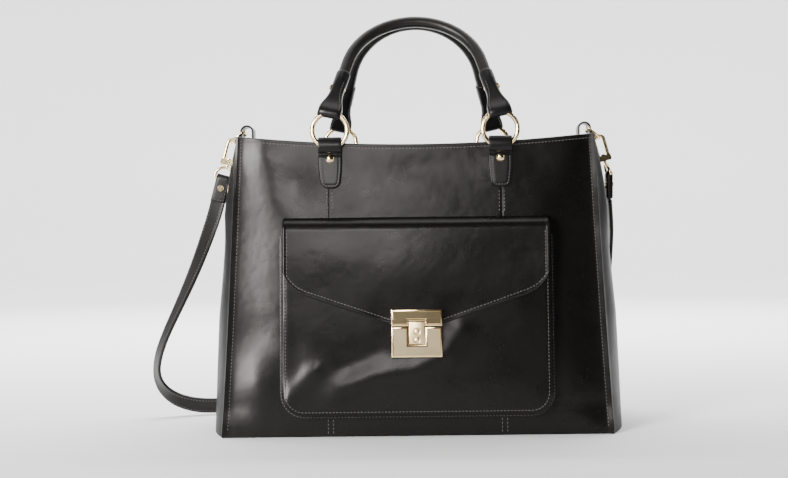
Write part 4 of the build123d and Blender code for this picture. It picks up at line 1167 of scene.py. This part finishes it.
# %% Handle frame
ring_y = 61.284 * MM
ring_top_z = 302.2 * MM
handle_lean = radians(29.99)
leg_tilt = radians(14.327)
leg_length = 62.91 * MM
arch_radius = 66.5 * MM
arch_middle = 44.5 * MM


def in_handle(side, x, up, out=0.0):
    """A point in a handle's own plane: up it from its rings, and out of it towards the front."""
    y = side * (ring_y - up * sin(handle_lean)) - out * cos(handle_lean)
    return Vector((x, y, ring_top_z + up * cos(handle_lean) - side * out * sin(handle_lean)))


def handle_line(start, step=2.5 * MM):
    """The middle line of a handle in its plane, from one leg's start to the other's."""
    line = []
    count = int((leg_length - start) / step)
    for k in range(count):
        s = mix(start, leg_length, k / count)
        line.append((-(handle_x - s * sin(leg_tilt)), s * cos(leg_tilt)))
    sweep = pi / 2 - leg_tilt
    count = int(2 * sweep * arch_radius / step)
    for k in range(count + 1):
        turn = mix(-sweep, sweep, k / count)
        line.append((arch_radius * sin(turn), arch_middle + arch_radius * cos(turn)))
    count = int((leg_length - start) / step)
    for k in range(1, count + 1):
        s = mix(leg_length, start, k / count)
        line.append((handle_x - s * sin(leg_tilt), s * cos(leg_tilt)))
    return line


def leg_point(side, hand, s, outboard=0.0, out=0.0):
    x = hand * (handle_x - s * sin(leg_tilt) + outboard * cos(leg_tilt))
    return in_handle(side, x, s * cos(leg_tilt) + outboard * sin(leg_tilt), out)


# %% Handle tubes
handle_rows = {-1: [], 1: []}
for side, side_name in SIDES:
    path = [in_handle(side, x, up) for x, up in handle_line(34 * MM)]
    normal = (in_handle(side, 0, 0, 1) - in_handle(side, 0, 0, 0)).normalized()
    rings = []
    stations = walk(path, normal)
    for point, ahead, a, b in stations:
        ring = []
        for k in range(28):
            turn = 2 * pi * k / 28
            r = 5.5 * MM + 0.25 * MM * hill(abs(((turn - pi * 1.5 + pi) % (2 * pi)) - pi), 0, 0.16)
            ring.append(point + a * r * cos(turn) + b * r * sin(turn))
        rings.append(ring)
    tube = skin(f"handle_tube_{side_name}", rings)
    finish(tube, strap_leather, f"{side_name}_handle", 60, [f"handle_cover_{side_name}"])
    for offset in (-2.6, 2.6):
        turn = pi * 1.5 + offset / 5.5
        sewn = stations[8:-8]
        points = [p + a * 5.5 * MM * cos(turn) + b * 5.5 * MM * sin(turn) for p, d, a, b in sewn]
        centres = [p for p, d, a, b in sewn]
        for p, d in resample(points, stitch_pitch):
            near = min(centres, key=lambda c: (c - p).length_squared)
            handle_rows[side].append((p, d, p - near))
    print("handle", side_name, len(tube.data.polygons), "faces")


# %% [markdown]
# A wrap is modelled from the ring upward. Its first rings turn round the wire as a folded strap does, the next ones
# narrow to the waist, and the last ones become the collar that is sewn round the tube.

# %% Handle wraps
# Along the leg, half its width, half its thickness (all in millimetres), and how square the section is.
wrap_stations = [
    (-5.0, 10.6, 0.6, 2.5), (-4.6, 11.0, 2.2, 2.5), (-3.4, 11.1, 3.7, 3.0), (-1.5, 11.2, 4.8, 3.5),
    (1.0, 11.2, 5.0, 4.0), (3.5, 11.2, 4.9, 4.5), (6.0, 11.0, 4.6, 4.5), (9.0, 10.2, 4.3, 4.5),
    (12.5, 8.9, 4.3, 4.0), (16.0, 7.7, 4.5, 3.6), (20.0, 6.8, 4.8, 3.2), (25.0, 6.3, 5.1, 3.0),
    (30.0, 6.5, 5.6, 2.6), (34.0, 6.8, 6.2, 2.2), (38.0, 6.85, 6.7, 2.0), (40.0, 6.85, 6.8, 2.0),
    (44.0, 6.85, 6.85, 2.0), (47.0, 6.85, 6.85, 2.0), (48.0, 6.6, 6.6, 2.0), (48.3, 5.9, 5.9, 2.0),
]
for side, side_name in SIDES:
    for hand, hand_name in HANDS:
        name = f"handle_wrap_{side_name}_{hand_name}"
        rings = []
        for s, half, thick, square in wrap_stations:
            rings.append([leg_point(side, hand, s * MM, p, q) for p, q in oval(half * MM, thick * MM, square, 32)])
        wrap = skin(f"wrap_{side_name}_{hand_name}", rings)
        choose(wrap)
        soft = wrap.modifiers.new("soft", "SUBSURF")
        soft.levels = soft.render_levels = 1
        bpy.ops.object.modifier_apply(modifier=soft.name)
        finish(wrap, trim_leather, f"{side_name}_handle", 60, [name])
        for face in (-1, 1):
            away = leg_point(side, hand, 0, 0, face) - leg_point(side, hand, 0, 0, 0)
            for edge in (-1, 1):
                row = [leg_point(side, hand, s * MM, edge * (half - 2.0) * MM, face * (thick + 0.02) * MM)
                       for s, half, thick, square in wrap_stations[4:14]]
                handle_rows[side] += stations_on(row, lambda p: away, 2.9 * MM)
for side, side_name in SIDES:
    sew(f"handle_stitches_{side_name}", handle_rows[side], body=f"{side_name}_handle", scale=0.9)
print("handle stitches", len(handle_rows[-1]) + len(handle_rows[1]))

# %% [markdown]
# ## Strap anchors and strap ends
#
# On each gusset a short strap is folded over the mouth's edge, and its arch holds the D ring. The swivel clip
# hangs in that ring. The shoulder strap's own end is folded round the clip's eye, riveted and sewn. The left end
# hangs with the clip and shows its face. The right end hangs straight down and shows its edge.

# %% Strap anchors
anchor_half = 8 * MM
anchor_thick = 1.05 * MM


def gusset_x(z):
    return half_width(z) + gusset_out(0, z)


def anchor_path(hand):
    inner_x = gusset_x(height) - 5.1 * MM
    outer_x = 167.1 * MM + 5.7 * MM
    points = [(gusset_x(0.252) - 5.1 * MM, 0.252), (gusset_x(0.262) - 5.1 * MM, 0.262), (inner_x, 0.274),
              (161.4 * MM, 0.284), (161.4 * MM, 0.2915)]
    points += [(0.1671 - 0.0057 * cos(k * pi / 12), 0.2915 + 0.0057 * sin(k * pi / 12)) for k in range(1, 12)]
    points += [(outer_x, 0.2915), (outer_x, 0.286), (outer_x - 0.6 * MM, 0.280), (gusset_x(0.272) + 2.6 * MM, 0.272),
               (gusset_x(0.266) + 1.6 * MM, 0.266), (gusset_x(0.259) + 1.3 * MM, 0.259),
               (gusset_x(0.2525) + 1.2 * MM, 0.2525)]
    return [Vector((hand * x, 0, z)) for x, z in points]


anchor_rows = []
for hand, hand_name in HANDS:
    path = anchor_path(hand)
    halves = [anchor_half * (0.8 if k in (0, len(path) - 1) else 0.96 if k in (1, len(path) - 2) else 1.0)
              for k in range(len(path))]
    anchor = band(f"anchor_{hand_name}", path, (0, 1, 0), lambda k: halves[k], anchor_thick, 6, 20)
    finish(anchor, trim_leather, "bag", 50, [f"strap_anchor_{hand_name}"])
    outer = path[-6:]
    for y in (-1, 1):
        points = [p + Vector((hand * 1.05 * MM, y * (anchor_half - 2.2 * MM), 0)) for p in outer]
        anchor_rows += stations_on(points, lambda p: Vector((hand, 0, 0)), 2.9 * MM)
sew("anchor_stitches", anchor_rows, scale=0.9)
print("anchor stitches", len(anchor_rows))


# %% Strap ends
def strap_end(name, top, down, width_way):
    """A strap end folded round an eye's bar at top, hanging along down."""
    stations = [(-4.0, 7.0, 0.8), (-3.6, 7.3, 2.0), (-2.4, 7.4, 3.1), (-0.4, 7.4, 3.6), (2.0, 7.4, 3.5),
                (5.0, 7.4, 3.2), (9.0, 7.4, 3.1), (14.0, 7.4, 3.1), (20.0, 7.4, 3.1), (23.0, 7.4, 3.0),
                (24.0, 7.2, 2.6)]
    rings = []
    width = width_way.normalized()
    deep = down.cross(width).normalized()
    for s, half, thick in stations:
        centre = top + down * s * MM
        rings.append([centre + width * p + deep * q for p, q in oval(half * MM, thick * MM, 5 if s > 1 else 3, 24)])
    piece = skin(name, rings)
    rows = []
    for face in (-1, 1):
        for edge in (-1, 1):
            line = top + width * edge * 5.3 * MM + deep * face * 3.14 * MM
            points = [line + down * s * MM for s in (3.5, 10, 16, 22.5)]
            rows += stations_on(points, lambda p: deep * face, 2.9 * MM)
        points = [top + down * 21.8 * MM + width * e * MM + deep * face * 3.12 * MM for e in (-4.4, 0, 4.4)]
        rows += stations_on(points, lambda p: deep * face, 2.9 * MM)
    return piece, rows


tilt = radians(15)
left_down = Vector((-sin(tilt), 0, -cos(tilt)))
left_across = Vector((cos(tilt), 0, -sin(tilt)))
eye = Vector((0.19168, 0, 0.2456))
left_end, left_rows = strap_end("strap_end_left", Vector((-eye.x, 0, eye.z)), left_down, left_across)
right_end, right_rows = strap_end("strap_end_right", eye, Vector((0, 0, -1)), Vector((0, 1, 0)))
ends = join([left_end, right_end], "strap_folds")
finish(ends, strap_leather, "bag", 40, ["strap_ends"])
end_stitches = sew("strap_end_stitches", left_rows + right_rows, scale=0.9)
print("strap ends", len(ends.data.polygons), "faces")

# %% [markdown]
# ## The zip pocket inside
#
# A slip pocket is sewn to the back lining, closed by a zip. The pocket is a soft panel with a turned edge. The
# tape carries two rows of interlocking teeth: one tooth is modelled, with bevelled edges, and copied along.

# %% Inner pocket
pocket_inset = 3.2 * MM


def inner_place(u, v):
    x = u * 95 * MM
    up = mix(95 * MM, 215 * MM, v)
    edge = min(1 - abs(u), 1 - abs(2 * v - 1))
    puff = 1.5 * MM * ease(edge / 0.12) + 0.2 * MM
    return on_wall(1, x, up, -(pocket_inset + puff))


steps = both_signs((0, 0.2, 0.4, 0.6, 0.75, 0.85, 0.92, 0.97, 1.0))
inner = sheet("slip_pocket", steps, [k / 30 for k in range(31)], inner_place, (0, -1, 0), 0.9 * MM)
finish(inner, lining_cloth, "bag", 40, ["inner_pocket"])

zip_up = 197 * MM
zip_deep = 4.7 * MM


def tape_place(u, v):
    return on_wall(1, u * 85 * MM, zip_up + v * 7 * MM, -(zip_deep + 0.5 * MM + 0.25 * MM * cos(v * 9)))


tape = sheet("zip_band", [k / 40 for k in range(-40, 41)], [k / 8 for k in range(-8, 9)], tape_place, (0, -1, 0),
             0.5 * MM)
finish(tape, zip_cloth, "bag", 40, ["zip_tape"])

deselect_all()
bpy.ops.mesh.primitive_cube_add(size=1)
tooth = named("tooth")
for v in tooth.data.vertices:
    v.co = Vector((v.co.x * 1.1 * MM, v.co.y * 1.1 * MM, v.co.z * 2.6 * MM))
edit_all(tooth, bpy.ops.mesh.bevel, offset=0.25 * MM, segments=1)
teeth = []
for k in range(84):
    x = (k - 41.5) * 1.95 * MM
    place = on_wall(1, x, zip_up + (0.7 if k % 2 else -0.7) * MM, -(zip_deep + 0.9 * MM))
    teeth.append(add_copy(tooth, "zip_teeth", lambda co: co + place))
bpy.data.objects.remove(tooth)
zip_teeth = join(teeth, "zip_teeth")
finish(zip_teeth, gold_polished, "bag", 30)
bpy.data.objects.remove(stitch)
print("zip teeth", len(teeth))

# %% [markdown]
# ## The lock's plates
#
# The bar on the flap and the plate on the pocket are cast, with a polished bevel round a slightly sunken panel. Each
# is an outline with square corners, extruded up, brought in for the bevel and sunk for the panel. The bar's panel is
# polished too, and the plate's is matt.

# %% Lock plates
def inset_outline(points, amount):
    """A square-cornered outline brought in, its points given counter-clockwise."""
    result = []
    for k, (x, y) in enumerate(points):
        ax, ay = points[k - 1]
        bx, by = points[(k + 1) % len(points)]
        first = (-(y - ay), x - ax)
        second = (-(by - y), bx - x)
        f, g = hypot(*first), hypot(*second)
        result.append((x + amount * (first[0] / f + second[0] / g), y + amount * (first[1] / f + second[1] / g)))
    return result


def cast_plate(name, outline, back, face, body, replaced, brushed=True):
    """A plate with a bevelled frame round a sunken panel."""
    steps = [(0.0, back), (0.0, face - 0.7), (0.25, face - 0.2), (0.75, face), (1.9, face), (2.15, face - 0.35)]
    rings = []
    for amount, out in steps:
        rings.append([on_wall(-1, x * MM, up * MM, out * MM) for x, up in inset_outline(outline, amount)])
    piece = skin(name, rings)
    finish(piece, gold_polished, body, 30, [replaced])
    piece.data.materials.append(gold_brushed)
    panel = max(piece.data.polygons, key=lambda f: len(f.vertices) * 1000 - f.center.y)
    panel.material_index = 1 if brushed else 0
    return piece


bar_outline = [(-23.5, 102), (-7.8, 102), (-7.8, 106.9), (7.8, 106.9), (7.8, 102), (23.5, 102), (23.5, 117.5),
               (-23.5, 117.5)]
plate_outline = [(-23.5, 73.4), (23.5, 73.4), (23.5, 101.4), (7.8, 101.4), (7.8, 85), (-7.8, 85), (-7.8, 101.4),
                 (-23.5, 101.4)]
cast_plate("cast_bar", bar_outline, 14.5, 18.1, "flap", "lock_bar", False)
cast_plate("cast_plate", plate_outline, 12.0, 17.4, "bag", "lock_plate")
slot_floor = skin("cast_plate_floor", [[on_wall(-1, x * MM, up * MM, out * MM) for x, up in
                                        ((-7.7, 84.6), (7.7, 84.6), (7.7, 101.3), (-7.7, 101.3))]
                                       for out in (12.0, 13.4, 13.6)])
finish(slot_floor, gold_brushed, "bag", 30)

# %% [markdown]
# The tongue is a small satin tablet with two plain round studs. A shallow ring round each stud gives it a dark
# outline.

# %% Lock tongue
def face_circle(up, radius, out, count=24):
    turns = [2 * pi * k / count for k in range(count)]
    return [on_wall(-1, radius * MM * cos(t), (up + radius * sin(t)) * MM, out * MM) for t in turns]


tongue_outline = [(-7.3, 85.5), (7.3, 85.5), (7.3, 106.3), (-7.3, 106.3)]
tongue_rings = []
for amount, out in ((0.0, 15.2), (0.0, 17.3), (0.3, 17.75), (0.7, 17.9)):
    tongue_rings.append([on_wall(-1, x * MM, up * MM, out * MM) for x, up in inset_outline(tongue_outline, amount)])
tongue_pieces = [skin("tongue_body", tongue_rings)]
for up in (97.2, 89.6):
    profile = ((3.7, 17.5), (3.7, 18.2), (3.3, 18.5), (2.9, 18.4), (2.6, 18.0), (2.3, 18.4), (1.7, 18.75), (0.9, 18.9),
               (0.2, 18.95))
    tongue_pieces.append(skin("stud", [face_circle(up, r, out) for r, out in profile]))
tongue = join(tongue_pieces, "cast_tongue")
finish(tongue, gold_satin, "tongue", 40, ["lock_tongue"])
print("lock plates and tongue made")

# %% [markdown]
# ## Metal parts
#
# Every other metal part keeps its CAD shape and gets its finish here. Nearly all are polished. The hidden board and
# cores get plain materials of their own, and the strap's keeper is leather.

# %% CAD finishes
FINISHES = {
    gold_polished: ["o_ring_front_left", "o_ring_front_right", "o_ring_back_left", "o_ring_back_right", "d_ring_left",
                    "d_ring_right", "clip_hook_left", "clip_hook_right", "clip_gate_left", "clip_gate_right",
                    "clip_eyes", "strap_buckle", "tab_rivets", "wrap_rivets_front", "wrap_rivets_back",
                    "anchor_rivets", "strap_rivets", "lock_pin", "zip_slider", "snap_socket", "snap_stud"],
    steel: ["lock_magnet"],
    core_fibre: ["handle_core_front", "handle_core_back"],
    board_grey: ["base_board"],
    strap_leather: ["strap_keeper"],
}
for material, names in FINISHES.items():
    for name in names:
        node = bpy.data.objects[name]
        for slot in node.material_slots:
            slot.material = material
print("finished", sum(len(names) for names in FINISHES.values()), "CAD parts")

# %% [markdown]
# ## Floor and light
#
# A pale floor that curves up all round, like a bowl, and soft light. Its colour darkens in front and at the sides:
# that is painted shade, since a white wall there would turn the black leather grey. The large lamp on the left makes
# the long highlights on the leather. The right side stays darker, so that the black keeps its depth.

# %% Studio
rings = []
for r, z in ((4.7, 5.0), (4.65, 3.0), (4.5, 1.6), (4.2, 0.75), (3.8, 0.3), (3.3, 0.07), (2.8, 0.0), (1.5, 0.0),
             (0.5, 0.0)):
    rings.append([Vector((r * cos(t), r * sin(t), z - 0.0005))
                  for t in (2 * pi * k / 72 for k in range(72))])
studio = skin("floor", rings)
choose(studio)
bpy.ops.object.mode_set(mode="EDIT")
bpy.ops.mesh.select_mode(type="FACE")
bpy.ops.mesh.select_all(action="DESELECT")
shape = bmesh.from_edit_mesh(studio.data)
max(shape.faces, key=lambda f: f.calc_center_median().z).select_set(True)
bmesh.update_edit_mesh(studio.data)
bpy.ops.mesh.delete(type="FACE")
bpy.ops.mesh.select_all(action="SELECT")
bpy.ops.mesh.flip_normals()
bpy.ops.object.mode_set(mode="OBJECT")
shaded_floor, tree, shader = new_material("floor_painted_shade")
place = add_node(tree, "ShaderNodeTexCoord")
apart = add_node(tree, "ShaderNodeSeparateXYZ")
tree.links.new(place.outputs["Object"], apart.inputs["Vector"])
aside = add_node(tree, "ShaderNodeMath", operation="ABSOLUTE")
tree.links.new(apart.outputs["X"], aside.inputs[0])
shade = add_node(tree, "ShaderNodeMath", operation="MULTIPLY")
# Painted shade: the floor's colour darkens towards the front and at the sides, so the leather reflects an unlit studio
# there.
tree.links.new(spread(tree, apart.outputs["Y"], -1.3, -0.35, 0.10, 0.90), shade.inputs[0])
tree.links.new(spread(tree, aside.outputs[0], 2.1, 2.9, 1.0, 0.12), shade.inputs[1])
tree.links.new(shade.outputs[0], shader.inputs["Base Color"])
shader.inputs["Roughness"].default_value = 0.9
studio.data.materials.append(shaded_floor)
smooth(studio, 80)

world = bpy.data.worlds.new("studio")
world.use_nodes = True
world.node_tree.nodes["Background"].inputs["Color"].default_value = (1, 1, 1, 1)
world.node_tree.nodes["Background"].inputs["Strength"].default_value = 0.04
bpy.context.scene.world = world


def lamp(name, place, target, size, power):
    data = bpy.data.lights.new(name, "AREA")
    data.shape = "RECTANGLE"
    data.size, data.size_y = size
    data.energy = power
    light = bpy.data.objects.new(name, data)
    light.location = place
    light.rotation_euler = (Vector(target) - Vector(place)).to_track_quat("-Z", "Y").to_euler()
    bpy.context.scene.collection.objects.link(light)
    return light


lamp("key", (-1.25, -1.65, 0.65), (-0.1, 0, 0.15), (0.6, 1.0), 100)
lamp("front", (-0.28, -2.3, 0.70), (0, 0, 0.15), (0.5, 0.4), 15)
lamp("top", (-0.1, -0.2, 1.7), (0, 0, 0.1), (1.0, 0.7), 7)
lamp("side", (-1.9, 0.4, 0.9), (0, 0, 0.15), (0.8, 1.2), 3)
lamp("fill", (2.0, -0.2, 0.8), (0, 0, 0.15), (0.6, 1.0), 3)
lamp("backdrop", (0, 0.7, 1.9), (0, 3.0, 0.4), (4.0, 1.0), 330)
lamp("rear", (0.6, 1.6, 1.6), (0, 0, 0.15), (1.6, 1.0), 10)
